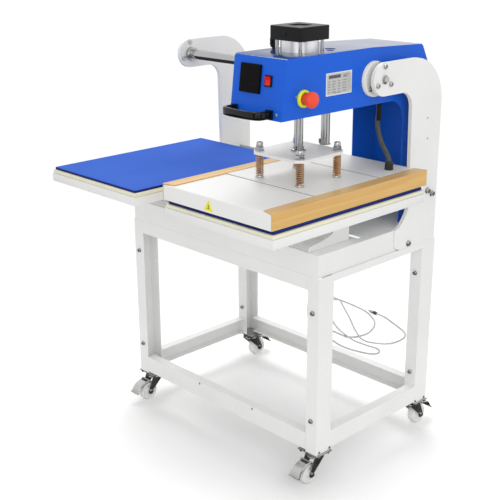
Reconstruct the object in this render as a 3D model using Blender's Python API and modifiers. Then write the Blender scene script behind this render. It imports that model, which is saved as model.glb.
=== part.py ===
"""Two-station pneumatic heat press on a wheeled stand, in metres, +Z up.

Front is -Y.  The press head stands over the right bed and slides on a cross
shaft to the left bed.  Every piece hangs from one empty, which moves the
design frame (stand centre) to the middle of the whole machine's footprint.
"""

import math

import bmesh
import bpy
from mathutils import Matrix, Vector

# ---- driving sizes ---------------------------------------------------------
GAP = 0.0003                 # running clearance between touching pieces
FRAME_SHIFT_Y = 0.09875      # stand centre to footprint centre
STAND_X = 0.402              # half width over the legs
STAND_Y = 0.259              # half depth over the legs
SHEET = 0.0025
LEG_WEB = 0.060
LEG_FLANGE = 0.042
LEG_LOW = 0.096
LEG_TOP = 0.633
TOP_RAIL_LOW = 0.591
SIDE_RAIL_LOW = 0.612
LOW_RAIL = (0.1015, 0.155)
RAIL_DEPTH = 0.030
TRAY_TOP = 0.697
TRAY_X = 0.397
TRAY_BODY_X = 0.3905
PLATE_IN = 0.3908            # inner face of the two tall side plates
PLATE_THICK = 0.012
SHAFT_Y = -0.013
SHAFT_Z = 1.136
SHAFT_R = 0.015
GUIDE_Y = 0.207
GUIDE_Z = 0.795
GUIDE_R = 0.008
BED_X = 0.2695               # centre of each bed from the middle
BED_Y = -0.2055
BED_HALF_Y = 0.302
PAN_Z = (0.790, 0.815)
HEAD_X = (0.1767, 0.3623)
HEAD_TOP = 1.220
HEAD_LOW = 1.0645
FRONT_LOW = (-0.368, 1.0665)
FRONT_TOP = (-0.349, HEAD_TOP)
COLUMN_LOW = 0.700
PLATEN_HALF_X = 0.2043
PLATEN_Y = (-0.512, 0.101)
PLATEN_Z = (0.8388, 0.880)
ROD_R = 0.0125
GUIDE_ROD_Y = -0.098
PRESS_TOP_Z = (0.947, 0.955)
BOLT_X = 0.0745
BOLT_Y = 0.073
CASTER_X = 0.369
CASTER_Y = 0.229
TRAIL = 0.030
PEDAL_HALF = 0.0190
WHEEL_R = 0.031
HOSE_R = 0.003
CONDUIT_R = 0.0065


# ---- scene and helpers -----------------------------------------------------
def clear_scene():
    for old in list(bpy.data.objects):
        bpy.data.objects.remove(old)


def new_collection(name, hidden=False):
    made = bpy.data.collections.new(name)
    bpy.context.scene.collection.children.link(made)
    made.hide_render = hidden
    return made


def material(name, colour, metallic=0.0, roughness=0.45):
    found = bpy.data.materials.get(name)
    if found:
        return found
    made = bpy.data.materials.new(name)
    made.use_nodes = True
    shader = made.node_tree.nodes["Principled BSDF"]
    shader.inputs["Base Color"].default_value = (*colour, 1.0)
    shader.inputs["Metallic"].default_value = metallic
    shader.inputs["Roughness"].default_value = roughness
    made.diffuse_color = (*colour, 1.0)
    return made


WHITE = ("powder_coat_white", (0.82, 0.82, 0.81), 0.0, 0.4)
BLUE = ("powder_coat_blue", (0.02, 0.13, 0.72), 0.0, 0.35)
CHROME = ("hard_chrome", (0.75, 0.75, 0.76), 1.0, 0.12)
ZINC = ("zinc_plate", (0.62, 0.62, 0.60), 1.0, 0.35)
BLACK = ("black_plastic", (0.02, 0.02, 0.02), 0.0, 0.4)
ALUMINIUM = ("cast_aluminium", (0.70, 0.70, 0.71), 1.0, 0.3)
RED = ("red_plastic", (0.80, 0.04, 0.02), 0.0, 0.35)
LIME = ("lime_plastic", (0.75, 0.85, 0.04), 0.0, 0.4)
OCHRE = ("ochre_laminate", (0.68, 0.40, 0.12), 0.0, 0.5)
COPPER = ("spring_brown", (0.30, 0.13, 0.04), 0.9, 0.35)
SILICONE = ("cream_silicone", (0.78, 0.74, 0.52), 0.0, 0.7)
FABRIC = ("blue_fabric", (0.03, 0.10, 0.62), 0.0, 0.85)
NYLON = ("white_nylon", (0.85, 0.85, 0.83), 0.0, 0.4)
DARK = ("dark_heater", (0.09, 0.08, 0.08), 0.6, 0.5)
GREY = ("grey_hose", (0.55, 0.55, 0.56), 0.0, 0.45)


class Build:
    """Holds the two collections and the root empty, and makes objects in them."""

    def __init__(self):
        self.parts = new_collection("heat_press")
        self.tools = new_collection("heat_press_tools", hidden=True)
        self.root = bpy.data.objects.new("heat_press_frame", None)
        self.root.location = (0.0, FRAME_SHIFT_Y, 0.0)
        self.parts.objects.link(self.root)
        self.count = 0

    def link(self, name, mesh, look=None):
        obj = bpy.data.objects.new(name, mesh)
        obj.parent = self.root
        if look:
            self.parts.objects.link(obj)
            mesh.materials.append(material(*look))
        else:
            self.tools.objects.link(obj)
            obj.hide_render = True
            obj.display_type = "WIRE"
        return obj

    def from_bmesh(self, name, bm, look):
        bmesh.ops.recalc_face_normals(bm, faces=bm.faces[:])
        if look is None:
            self.count += 1
            name = f"{name}_tool_{self.count:03d}"
        mesh = bpy.data.meshes.new(name)
        bm.to_mesh(mesh)
        bm.free()
        return self.link(name, mesh, look)

    def box(self, name, low, high, look=None):
        bm = bmesh.new()
        bmesh.ops.create_cube(bm, size=1.0)
        for vert in bm.verts:
            for i in range(3):
                vert.co[i] = low[i] if vert.co[i] < 0 else high[i]
        return self.from_bmesh(name, bm, look)

    def prism(self, name, outline, axis, low, high, look=None):
        """Extrudes a flat outline along axis; its two numbers are the other two axes in order."""
        bm = bmesh.new()
        ends = []
        for level in (low, high):
            ring = []
            for a, b in outline:
                spot = [a, b]
                spot.insert("XYZ".index(axis), level)
                ring.append(bm.verts.new(spot))
            ends.append(ring)
        bm.faces.new(ends[0])
        bm.faces.new(ends[1])
        count = len(outline)
        for i in range(count):
            j = (i + 1) % count
            bm.faces.new((ends[0][i], ends[0][j], ends[1][j], ends[1][i]))
        return self.from_bmesh(name, bm, look)

    def lathe(self, name, profile, centre, axis, look=None, sides=32):
        """Turns (radius, height) steps about axis through centre; heights run along axis."""
        bm = bmesh.new()
        turn = {"Z": Matrix(), "X": Matrix.Rotation(math.pi / 2, 4, "Y"),
                "Y": Matrix.Rotation(-math.pi / 2, 4, "X")}[axis]
        rings = []
        for radius, height in profile:
            ring = []
            for i in range(sides):
                angle = 2 * math.pi * (i + 0.5) / sides
                spot = Vector((radius * math.cos(angle), radius * math.sin(angle), height))
                ring.append(bm.verts.new(turn @ spot + Vector(centre)))
            rings.append(ring)
        closed = profile[0][0] == profile[-1][0] and profile[0][1] == profile[-1][1]
        if closed:
            for vert in rings[-1]:
                bm.verts.remove(vert)
            rings[-1] = rings[0]
        for low, high in zip(rings, rings[1:]):
            for i in range(sides):
                j = (i + 1) % sides
                bm.faces.new((low[i], low[j], high[j], high[i]))
        if not closed:
            bm.faces.new(rings[0])
            bm.faces.new(rings[-1])
        return self.from_bmesh(name, bm, look)

    def rod(self, name, radius, centre, axis, low, high, look=None, sides=32):
        return self.lathe(name, [(radius, low), (radius, high)], centre, axis, look, sides)

    def add(self, obj, tool):
        self.operate(obj, tool, "UNION")

    def cut(self, obj, tool):
        self.operate(obj, tool, "DIFFERENCE")

    def operate(self, obj, tool, operation):
        step = obj.modifiers.new(f"{operation.lower()}_{len(obj.modifiers) + 1}", "BOOLEAN")
        step.object = tool
        step.operation = operation
        step.solver = "EXACT"

    def tube(self, name, points, radius, look, resolution=2):
        data = bpy.data.curves.new(name, "CURVE")
        data.dimensions = "3D"
        data.bevel_depth = radius
        data.bevel_resolution = resolution
        data.use_fill_caps = True
        line = data.splines.new("POLY")
        line.points.add(len(points) - 1)
        for target, spot in zip(line.points, points):
            target.co = (*spot, 1.0)
        return self.link(name, data, look)


def arc(centre, radius, start, end, steps):
    """Points on a circle from start to end degrees, both included."""
    found = []
    for i in range(steps + 1):
        angle = math.radians(start + (end - start) * i / steps)
        found.append((centre[0] + radius * math.cos(angle), centre[1] + radius * math.sin(angle)))
    return found


def smooth(points, step):
    """A Catmull-Rom line through points, resampled so that neighbours are step apart."""
    spots = [Vector(p) for p in points]
    padded = [2 * spots[0] - spots[1]] + spots + [2 * spots[-1] - spots[-2]]
    dense = []
    for a, b, c, d in zip(padded, padded[1:], padded[2:], padded[3:]):
        for i in range(24):
            t = i / 24
            dense.append(0.5 * (2 * b + (c - a) * t + (2 * a - 5 * b + 4 * c - d) * t * t
                                + (3 * b - a - 3 * c + d) * t ** 3))
    dense.append(spots[-1])
    lengths = [0.0]
    for a, b in zip(dense, dense[1:]):
        lengths.append(lengths[-1] + (b - a).length)
    count = max(2, round(lengths[-1] / step))
    found, k = [], 0
    for i in range(count + 1):
        want = lengths[-1] * i / count
        while k < len(lengths) - 2 and lengths[k + 1] < want:
            k += 1
        share = (want - lengths[k]) / max(1e-9, lengths[k + 1] - lengths[k])
        found.append(dense[k].lerp(dense[k + 1], min(1.0, share)))
    return found


def thinned(points, longest, turn=18):
    """Drops points where the line is nearly straight: at most longest apart, at most turn degrees between."""
    kept = [points[0], points[1]]
    run = 0.0
    for before, spot, after in zip(points[1:], points[2:], points[3:]):
        run += (spot - before).length
        heading = kept[-1] - kept[-2]
        if run > longest or heading.angle(after - spot) > math.radians(turn):
            kept.append(spot)
            run = 0.0
    if (points[-1] - kept[-1]).length < 0.004:
        kept.pop()
    return kept + [points[-1]]


# ---- stand -----------------------------------------------------------------
def side_frame(b, side, sign):
    """Two channel legs with the top and bottom side rails welded between them."""
    outer, inner = STAND_X, STAND_X - SHEET
    x0, x1 = sorted((sign * inner, sign * outer))
    window_y = STAND_Y - LEG_WEB
    obj = b.prism(f"stand_side_frame_{side}",
                  [(-STAND_Y, LEG_LOW), (STAND_Y, LEG_LOW), (STAND_Y, LEG_TOP), (-STAND_Y, LEG_TOP)],
                  "X", x0, x1, WHITE)
    window = b.box("window", (x0 - 0.01, -window_y, LOW_RAIL[1]), (x1 + 0.01, window_y, SIDE_RAIL_LOW))
    under = b.box("under", (x0 - 0.01, -window_y, LEG_LOW - 0.01), (x1 + 0.01, window_y, LOW_RAIL[0]))
    b.cut(obj, window)
    b.cut(obj, under)
    deep = sign * (STAND_X - LEG_FLANGE)
    f0, f1 = sorted((deep, sign * (outer - SHEET / 2)))
    for end in (-1, 1):
        for y in (STAND_Y, window_y + SHEET):
            y0, y1 = sorted((end * y, end * (y - SHEET)))
            b.add(obj, b.box("leg_flange", (f0, y0, LEG_LOW), (f1, y1, LEG_TOP)))
    r0, r1 = sorted((sign * (STAND_X - RAIL_DEPTH), sign * (outer - SHEET / 2)))
    reach = window_y + SHEET / 2
    for z0 in (LOW_RAIL[0], LOW_RAIL[1] - SHEET, LEG_TOP - SHEET):
        b.add(obj, b.box("rail_flange", (r0, -reach, z0), (r1, reach, z0 + SHEET)))
    return obj


def cross_rail(b, name, sign, low, high):
    """A channel between the two side frames, its web outermost; sign is -1 in front."""
    half = STAND_X - LEG_FLANGE - GAP
    web = sorted((sign * STAND_Y, sign * (STAND_Y - SHEET)))
    deep = sorted((sign * (STAND_Y - SHEET / 2), sign * (STAND_Y - RAIL_DEPTH)))
    obj = b.box(name, (-half, web[0], low), (half, web[1], high), WHITE)
    for z0 in (low, high - SHEET):
        b.add(obj, b.box("flange", (-half, deep[0], z0), (half, deep[1], z0 + SHEET)))
    return obj


def caster(b, tag, x, y, way):
    """Mounting plate, swivel fork with axle, wheel and brake pedal; way is the trailing side."""
    plate = b.box(f"caster_plate_{tag}", (x - 0.039, y - 0.0315, LEG_LOW - GAP - 0.003),
                  (x + 0.039, y + 0.0315, LEG_LOW - GAP), ZINC)
    b.add(plate, b.lathe("race", [(0.014, -0.0095), (0.0225, -0.0075), (0.0225, 0.001), (0.014, 0.001)],
                         (x, y, LEG_LOW - GAP - 0.003), "Z"))
    crown = LEG_LOW - GAP - 0.003 - 0.0095 - GAP
    axle_y = y + way * TRAIL
    fork = b.box(f"caster_fork_{tag}", (x - 0.0195, y - 0.019, crown - 0.003),
                 (x + 0.0195, y + 0.019, crown), ZINC)
    outline = [(y - way * 0.019, crown), (y + way * 0.019, crown)]
    low = arc((0.0, 0.0), 0.0105, 20, -200, 10)
    outline += [(axle_y + way * a, WHEEL_R + c) for a, c in low]
    outline += [(y - way * 0.019, crown - 0.012)]
    for side in (-1, 1):
        x0, x1 = sorted((x + side * 0.0170, x + side * 0.0195))
        b.add(fork, b.prism("cheek", outline, "X", x0, x1))
    b.add(fork, b.rod("axle", 0.004, (x, axle_y, WHEEL_R), "X", -0.0215, 0.0215, sides=16))
    r, half = WHEEL_R / math.cos(math.pi / 28), 0.013
    profile = [(0.0043, -0.0155), (0.011, -0.0155), (0.011, -0.009), (r - 0.009, -0.009), (r - 0.006, -half),
               (r - 0.002, -half), (r, -half + 0.005), (r, half - 0.005), (r - 0.002, half), (r - 0.006, half),
               (r - 0.009, 0.009), (0.011, 0.009), (0.011, 0.0155), (0.0043, 0.0155), (0.0043, -0.0155)]
    b.lathe(f"caster_wheel_{tag}", profile, (x, axle_y, WHEEL_R), "X", NYLON, sides=28)
    sheet = [(0.032, 0.0695), (0.038, 0.0715), (0.058, 0.0665), (0.0765, 0.0555), (0.0835, 0.0375),
             (0.0860, 0.0383), (0.0790, 0.0580), (0.0590, 0.0690), (0.038, 0.0740), (0.031, 0.0720)]
    pedal = b.prism(f"caster_brake_{tag}", [(y + way * a, c) for a, c in sheet], "X",
                    x - PEDAL_HALF, x + PEDAL_HALF, ZINC)
    b.add(pedal, b.rod("pin", 0.003, (x, y + way * 0.034, 0.0705), "X", -0.0205, 0.0205, sides=12))


def stand(b):
    for side, sign in (("left", -1), ("right", 1)):
        side_frame(b, side, sign)
    for end, sign in (("front", -1), ("rear", 1)):
        cross_rail(b, f"stand_rail_top_{end}", sign, TOP_RAIL_LOW, LEG_TOP)
        cross_rail(b, f"stand_rail_bottom_{end}", sign, *LOW_RAIL)
        for side, way in (("left", -1), ("right", 1)):
            caster(b, f"{end}_{side}", way * CASTER_X, sign * CASTER_Y, sign)


# ---- base ------------------------------------------------------------------
def foot_curve(offset=0.0):
    """The rounded lower front corner of a side plate's foot, as (y, z)."""
    return arc((0.087, 0.660), 0.0255 + offset, 180, 270, 6)


def base_tray(b):
    low = LEG_TOP + GAP
    tray = b.box("base_tray", (-TRAY_BODY_X, -STAND_Y, low), (TRAY_BODY_X, STAND_Y, TRAY_TOP), WHITE)
    wall = 0.003
    b.cut(tray, b.box("hollow", (-TRAY_BODY_X + wall, -STAND_Y + wall, low - 0.01),
                      (TRAY_BODY_X - wall, STAND_Y - wall, TRAY_TOP - wall)))
    outline = [(-STAND_Y, low), (-STAND_Y, TRAY_TOP), (0.0608, TRAY_TOP)]
    outline += [(y - 0.0006, z) for y, z in foot_curve()[:-1]]
    outline += [(0.0770, low)]
    for sign in (-1, 1):
        x0, x1 = sorted((sign * (TRAY_BODY_X - 0.002), sign * TRAY_X))
        b.add(tray, b.prism("skirt", outline, "X", x0, x1))
        for cx, cy, half_x, half_y in ((0.3065, -0.230, 0.031, 0.0045), (0.346, -0.057, 0.025, 0.009)):
            b.cut(tray, b.box("slot", (sign * cx - half_x, cy - half_y, TRAY_TOP - 0.02),
                              (sign * cx + half_x, cy + half_y, TRAY_TOP + 0.02)))
    b.add(tray, b.lathe("bulkhead", [(0.0075, -0.006), (0.0075, 0.004), (0.0095, 0.004), (0.0095, 0.009),
                                     (0.0055, 0.009), (0.0055, 0.016)],
                        (-0.070, STAND_Y, 0.665), "Y", sides=20))


def side_plate(b, side, sign):
    """C-shaped plate: foot, column and the arm that carries the cross shaft."""
    arm_mid = SHAFT_Z + 0.0016
    outline = [(0.0616, 0.698)]
    outline += foot_curve()
    outline += [(0.087, LEG_TOP + 2 * GAP), (0.252, LEG_TOP + 2 * GAP)]
    outline += arc((0.117, arm_mid - 0.090), 0.135, 0, 90, 12)
    outline += arc((SHAFT_Y, arm_mid), 0.045, 90, 270, 16)
    outline += arc((0.068, arm_mid - 0.090), 0.045, 90, 0, 8)
    outline += [(0.1195, 0.765), (0.117, 0.750), (0.110, 0.735), (0.100, 0.722), (0.090, 0.711), (0.078, 0.7025)]
    x0, x1 = sorted((sign * PLATE_IN, sign * (PLATE_IN + PLATE_THICK)))
    obj = b.prism(f"side_plate_{side}", outline, "X", x0, x1, WHITE)
    soften(obj, 0.0012, 1)
    return obj


def soften(obj, width, segments=2, angle=35):
    step = obj.modifiers.new("rounded_edges", "BEVEL")
    step.width = width
    step.segments = segments
    step.limit_method = "ANGLE"
    step.angle_limit = math.radians(angle)


def shafts(b):
    half = PLATE_IN - GAP
    collar, face = 0.021, half - 0.0147
    b.lathe("main_shaft", [(collar, -half), (collar, -face), (SHAFT_R, -face), (SHAFT_R, face),
                           (collar, face), (collar, half)], (0, SHAFT_Y, SHAFT_Z), "X", CHROME)
    b.rod("lower_guide_rod", GUIDE_R, (0, GUIDE_Y, GUIDE_Z), "X", -half, half, CHROME, sides=24)


def bed_post(b, side, sign):
    """Bent-sheet bracket between the tray and the bed pan."""
    low, high = TRAY_TOP + GAP, PAN_Z[0] - GAP
    outline = [(-0.256, low), (-0.092, low), (-0.092, high), (-0.152, high), (-0.1545, 0.742), (-0.158, 0.733),
               (-0.168, 0.7255), (-0.192, 0.7195), (-0.232, 0.7145), (-0.250, 0.711), (-0.2565, 0.705)]
    xs = (0.2415, 0.3600)
    first = sorted((sign * (xs[1] - 0.004), sign * xs[1]))
    post = b.prism(f"bed_post_{side}", outline, "X", first[0], first[1], WHITE)
    other = sorted((sign * xs[0], sign * (xs[0] + 0.004)))
    b.add(post, b.prism("cheek", outline, "X", other[0], other[1]))
    span = sorted((sign * (xs[0] + 0.002), sign * (xs[1] - 0.002)))
    b.add(post, b.box("web", (span[0], -0.146, low), (span[1], -0.142, high)))
    b.add(post, b.box("sole", (span[0], -0.250, low), (span[1], -0.144, low + 0.004)))
    b.add(post, b.box("cap", (span[0], -0.144, high - 0.004), (span[1], -0.092, high)))


def bed(b, side, sign):
    x = sign * BED_X

    def slab(name, half_x, half_y, low, high, look, width):
        obj = b.box(name, (x - half_x, BED_Y - half_y, low), (x + half_x, BED_Y + half_y, high), look)
        soften(obj, width)

    slab(f"bed_pan_{side}", PLATEN_HALF_X, BED_HALF_Y, *PAN_Z, WHITE, 0.002)
    slab(f"silicone_pad_{side}", 0.2025, 0.3005, PAN_Z[1] + GAP, 0.826, SILICONE, 0.002)
    slab(f"pad_cover_{side}", 0.1980, 0.2965, 0.826 + GAP, 0.8335, FABRIC, 0.0025)


def base(b):
    base_tray(b)
    shafts(b)
    for side, sign in (("left", -1), ("right", 1)):
        side_plate(b, side, sign)
        bed_post(b, side, sign)
        bed(b, side, sign)


# ---- head ------------------------------------------------------------------
def head_outline():
    """The outside of the head seen from the side, as (y, z)."""
    outline = [FRONT_LOW, (FRONT_TOP[0] - 0.0010, HEAD_TOP - 0.008), (FRONT_TOP[0] + 0.002, HEAD_TOP - 0.002),
               (FRONT_TOP[0] + 0.007, HEAD_TOP)]
    outline += [(-0.020, HEAD_TOP), (0.198, HEAD_TOP - 0.009), (0.205, HEAD_TOP - 0.014), (0.233, 1.156), (0.234, 1.148)]
    outline += [(0.234, COLUMN_LOW), (0.128, COLUMN_LOW)]
    outline += arc((0.068, 1.0045), 0.060, 0, 90, 8)
    return outline


def head_hollow(wall):
    """What is cut out from between the two side sheets, open below the arm and in front of the column."""
    return [(FRONT_LOW[0] + wall, FRONT_LOW[1] - 0.05), (FRONT_LOW[0] + wall, FRONT_LOW[1]),
            (FRONT_TOP[0] + wall, HEAD_TOP - 0.012), (FRONT_TOP[0] + wall + 0.009, HEAD_TOP - wall),
            (-0.021, HEAD_TOP - wall), (0.196, HEAD_TOP - wall - 0.009), (0.202, HEAD_TOP - 0.017), (0.230, 1.155), (0.231, 1.148),
            (0.231, COLUMN_LOW - 0.05), (0.060, COLUMN_LOW - 0.05), (0.060, FRONT_LOW[1] - 0.05)]


def head_housing(b):
    wall = 0.003
    x0, x1 = HEAD_X
    head = b.prism("head_housing", head_outline(), "X", x0, x1, BLUE)
    b.cut(head, b.prism("hollow", head_hollow(wall), "X", x0 + wall, x1 - wall))
    carrier = b.box("rod_carrier", (x0 + 0.001, -0.300, 1.0715), (x1 - 0.001, -0.070, 1.0835))
    b.add(head, carrier)
    span = (x0 - 0.02, x1 + 0.02)
    b.cut(head, b.rod("shaft_hole", SHAFT_R + 0.004, (0, SHAFT_Y, SHAFT_Z), "X", *span))
    b.cut(head, b.rod("guide_hole", GUIDE_R + GAP, (0, GUIDE_Y, GUIDE_Z), "X", *span, sides=24))
    b.cut(head, b.rod("barrel_hole", 0.0505, (BED_X, BED_Y, 1.2), "Z", -0.01, 0.04, sides=32))
    for ix in (-1, 1):
        for iy in (-1, 1):
            b.cut(head, b.rod("tie_hole", 0.0063, (BED_X + ix * 0.0416, BED_Y + iy * 0.0416, 1.2), "Z",
                              -0.01, 0.04, sides=12))
    for x, y, radius in ((0.302, -0.122, 0.0155), (0.325, -0.148, 0.0105)):
        b.cut(head, b.rod("top_hole", radius, (x, y, 1.2), "Z", -0.01, 0.04, sides=24))
    for y in (BED_Y, GUIDE_ROD_Y):
        b.cut(head, b.rod("rod_hole", ROD_R + GAP, (BED_X, y, 1.08), "Z", -0.02, 0.02))
    return head


def on_front(x, up, out):
    """A point on the sloping front: up along the slope from its lower edge, out from its face."""
    rise = Vector((0, FRONT_TOP[0] - FRONT_LOW[0], FRONT_TOP[1] - FRONT_LOW[1])).normalized()
    normal = Vector((0, -rise.z, rise.y))
    return Vector((x, FRONT_LOW[0], FRONT_LOW[1])) + rise * up + normal * out


def front_block(b, name, x0, x1, up0, up1, out0, out1, look=None):
    obj = b.box(name, (0, 0, 0), (1, 1, 1), look)
    for vert in obj.data.vertices:
        vx, vu, vo = vert.co
        vert.co = on_front(x1 if vx > 0.5 else x0, up1 if vu > 0.5 else up0, out1 if vo > 0.5 else out0)
    work = bmesh.new()
    work.from_mesh(obj.data)
    bmesh.ops.recalc_face_normals(work, faces=work.faces[:])
    work.to_mesh(obj.data)
    work.free()
    return obj


def head_fittings(b):
    x0, x1 = HEAD_X
    for side, face, sign in (("left", x0, -1), ("right", x1, 1)):
        rim = 0.048
        profile = [(SHAFT_R + GAP, GAP), (rim, GAP), (rim, 0.0095), (rim - 0.002, 0.0115),
                   (SHAFT_R + 0.004, 0.0115), (SHAFT_R + GAP, 0.0115), (SHAFT_R + GAP, GAP)]
        b.lathe(f"shaft_bearing_{side}", [(r, sign * h) for r, h in profile],
                (face, SHAFT_Y, SHAFT_Z), "X", WHITE, sides=32)
    panel = front_block(b, "controller", 0.2072, 0.2800, 0.0600, 0.1340, GAP, 0.0075, BLACK)
    soften(panel, 0.0015)
    rocker = front_block(b, "power_switch", 0.2975, 0.3155, 0.0845, 0.1075, 0.0020, 0.0085, RED)
    soften(rocker, 0.0015)
    y, z = -0.2886, 1.116
    b.lathe("estop_collar", [(0.0145, GAP), (0.0225, GAP), (0.0225, 0.006), (0.0205, 0.008), (0.0145, 0.008),
                             (0.0145, GAP)], (x1, y, z), "X", LIME)
    b.lathe("estop_button", [(0.0138, 0.0066), (0.0138, 0.0185), (0.0195, 0.0205), (0.0207, 0.0240),
                             (0.0207, 0.0330), (0.0190, 0.0370), (0.0140, 0.0385)], (x1, y, z), "X", RED, 24)
    pull_handle(b)
    b.lathe("regulator_knob", [(0.0060, GAP), (0.0060, 0.0040), (0.0110, 0.0045), (0.0120, 0.0060),
                               (0.0120, 0.0300), (0.0105, 0.0320)], (0.197, -0.225, HEAD_TOP), "Z", BLACK, sides=24)


def pull_handle(b):
    """Flat bow handle: the same line offset both ways, extruded upright."""
    half = 0.0062
    left = [(0.1930, -0.3684), (0.1930, -0.3950), (0.1970, -0.4050), (0.2070, -0.4105), (0.2300, -0.4140),
            (0.2580, -0.4150)]
    right = [(0.516 - x, y) for x, y in reversed(left[:-1])]
    line = [Vector(p) for p in left + right]
    outer, inner = [], []
    for i, spot in enumerate(line):
        before, after = line[max(0, i - 1)], line[min(len(line) - 1, i + 1)]
        along = (after - before).normalized()
        across = Vector((along.y, -along.x))
        outer.append(tuple(spot + across * half))
        inner.append(tuple(spot - across * half))
    obj = b.prism("pull_handle", outer + inner[::-1], "Z", 1.0700, 1.0920, BLACK)
    soften(obj, 0.0025, 2, 50)


def cylinder(b):
    x, y = BED_X, BED_Y
    top = 1.2497
    body = b.lathe("cylinder_body", [(ROD_R + GAP, 1.0838), (0.050, 1.0838), (0.050, top), (ROD_R + GAP, top),
                                     (ROD_R + GAP, 1.0838)], (x, y, 0), "Z", ALUMINIUM, sides=32)
    cap = b.box("lower_cap", (x - 0.0525, y - 0.0525, 1.0838), (x + 0.0525, y + 0.0525, 1.118))
    b.cut(cap, b.rod("bore", ROD_R + 2 * GAP, (x, y, 1.1), "Z", -0.05, 0.05))
    b.add(body, cap)
    for ix in (-1, 1):
        for iy in (-1, 1):
            b.add(body, b.rod("tie_rod", 0.0045, (x + ix * 0.0416, y + iy * 0.0416, 0), "Z", 1.110, top, sides=12))
    head = b.box("cylinder_top_cap", (x - 0.0560, y - 0.0560, 1.250), (x + 0.0560, y + 0.0560, 1.286), BLACK)
    upright = head.modifiers.new("upright_corners", "BEVEL")
    upright.width = 0.007
    upright.segments = 3
    upright.limit_method = "WEIGHT"
    edge_weights(head, lambda a, c: abs(a.z - c.z) > 0.02)
    b.cut(head, b.rod("recess", 0.033, (x, y, 1.283), "Z", 0.0, 0.02, sides=32))


def edge_weights(obj, wanted):
    mesh = obj.data
    weights = mesh.attributes.new("bevel_weight_edge", "FLOAT", "EDGE")
    for edge in mesh.edges:
        a, c = (mesh.vertices[i].co for i in edge.vertices)
        weights.data[edge.index].value = 1.0 if wanted(a, c) else 0.0


# ---- press: what the cylinder lifts ------------------------------------------
def press(b):
    x, y = BED_X, BED_Y
    floor = PRESS_TOP_Z[1] + GAP
    b.lathe("piston_rod", [(0.021, floor), (0.021, floor + 0.010), (0.019, floor + 0.012), (ROD_R, floor + 0.012),
                           (ROD_R, 1.150)], (x, y, 0), "Z", CHROME)
    b.lathe("press_guide_rod", [(0.019, floor), (0.019, floor + 0.016), (ROD_R, floor + 0.018), (ROD_R, 1.130)],
            (x, GUIDE_ROD_Y, 0), "Z", CHROME)
    half, clip = 0.093, 0.017
    corners = []
    for sx, sy in ((1, 1), (-1, 1), (-1, -1), (1, -1)):
        first, second = (half, half - clip), (half - clip, half)
        if sx * sy < 0:
            first, second = second, first
        for px, py in (first, second):
            corners.append((x + sx * px, y + sy * py))
    plate = b.prism("pressure_plate", corners, "Z", *PRESS_TOP_Z, WHITE)
    number = 0
    for sy in (-1, 1):
        for sx in (-1, 1):
            number += 1
            spot = (x + sx * BOLT_X, y + sy * BOLT_Y, 0)
            b.cut(plate, b.rod("bolt_hole", 0.0048, spot, "Z", 0.93, 0.97, sides=20))
            b.lathe(f"platen_spring_bolt_{number}",
                    [(0.0125, 0.8803), (0.0125, 0.8865), (0.0112, 0.8865), (0.0112, PRESS_TOP_Z[0] - GAP),
                     (0.0045, PRESS_TOP_Z[0] - GAP), (0.0045, floor), (0.0130, floor), (0.0130, floor + 0.003),
                     (0.0100, floor + 0.005), (0.0100, 0.979)], spot, "Z", COPPER, sides=18)
    platen(b)


def platen(b):
    x = BED_X
    side = PLATEN_HALF_X - 0.0033
    low, high = PLATEN_Z
    cover = b.box("platen_cover", (x - side, PLATEN_Y[0], low), (x + side, PLATEN_Y[1], high), WHITE)
    step = cover.modifiers.new("folded_edges", "BEVEL")
    step.width = 0.0045
    step.segments = 3
    step.limit_method = "WEIGHT"
    edge_weights(cover, lambda a, c: abs(a.y - c.y) < 1e-4 and min(a.z, c.z) > 0.87)
    inset = 0.004
    b.cut(cover, b.box("pocket", (x - side + inset, PLATEN_Y[0] + inset, low - 0.01),
                       (x + side - inset, PLATEN_Y[1] - inset, 0.860)))
    inset += GAP
    b.box("heating_plate", (x - side + inset, PLATEN_Y[0] + inset, 0.8355),
          (x + side - inset, PLATEN_Y[1] - inset, 0.8597), DARK)
    for name, sign in (("left", -1), ("right", 1)):
        edge = x + sign * PLATEN_HALF_X
        inner = edge - sign * 0.003
        x0, x1 = sorted((edge, inner))
        guard = b.box(f"side_guard_{name}", (x0, PLATEN_Y[0], low), (x1, PLATEN_Y[1], high + GAP + 0.003), OCHRE)
        reach = 0.0385
        flap = [(edge - sign * 0.001, PLATEN_Y[0]), (inner, PLATEN_Y[0]), (edge - sign * reach, PLATEN_Y[0] + 0.009),
                (edge - sign * reach, PLATEN_Y[1] - 0.009), (inner, PLATEN_Y[1]), (edge - sign * 0.001, PLATEN_Y[1])]
        b.add(guard, b.prism("flap", flap, "Z", high + GAP, high + GAP + 0.003))
    conduit(b)


def conduit(b):
    """Armoured heater lead: gland on the platen, lead up into the open underside of the head."""
    base_z = PLATEN_Z[1]
    line = [(0.3400, 0.0450, 1.1150), (0.3400, 0.0450, 1.0900), (0.3395, 0.0450, 1.0450), (0.3390, 0.0450, 1.0120),
            (0.3425, 0.0440, 0.9850), (0.3530, 0.0425, 0.9560), (0.3720, 0.0400, 0.9310), (0.3850, 0.0385, 0.9130),
            (0.3885, 0.0380, 0.8940)]
    lead = b.tube("conduit_lead", smooth(line, 0.018), CONDUIT_R, BLACK, 2)
    mesh = bpy.data.meshes.new_from_object(lead)
    bpy.data.objects.remove(lead)
    work = bmesh.new()
    work.from_mesh(mesh)
    bmesh.ops.remove_doubles(work, verts=work.verts[:], dist=1e-6)
    tool = b.from_bmesh("lead", work, None)
    gland = b.lathe("heater_conduit", [(0.0125, base_z + GAP), (0.0125, base_z + 0.010), (0.0095, base_z + 0.012),
                                       (0.0095, base_z + 0.022), (0.0080, base_z + 0.025)],
                    (0.3885, 0.0380, 0), "Z", BLACK, sides=24)
    b.add(gland, tool)


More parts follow.
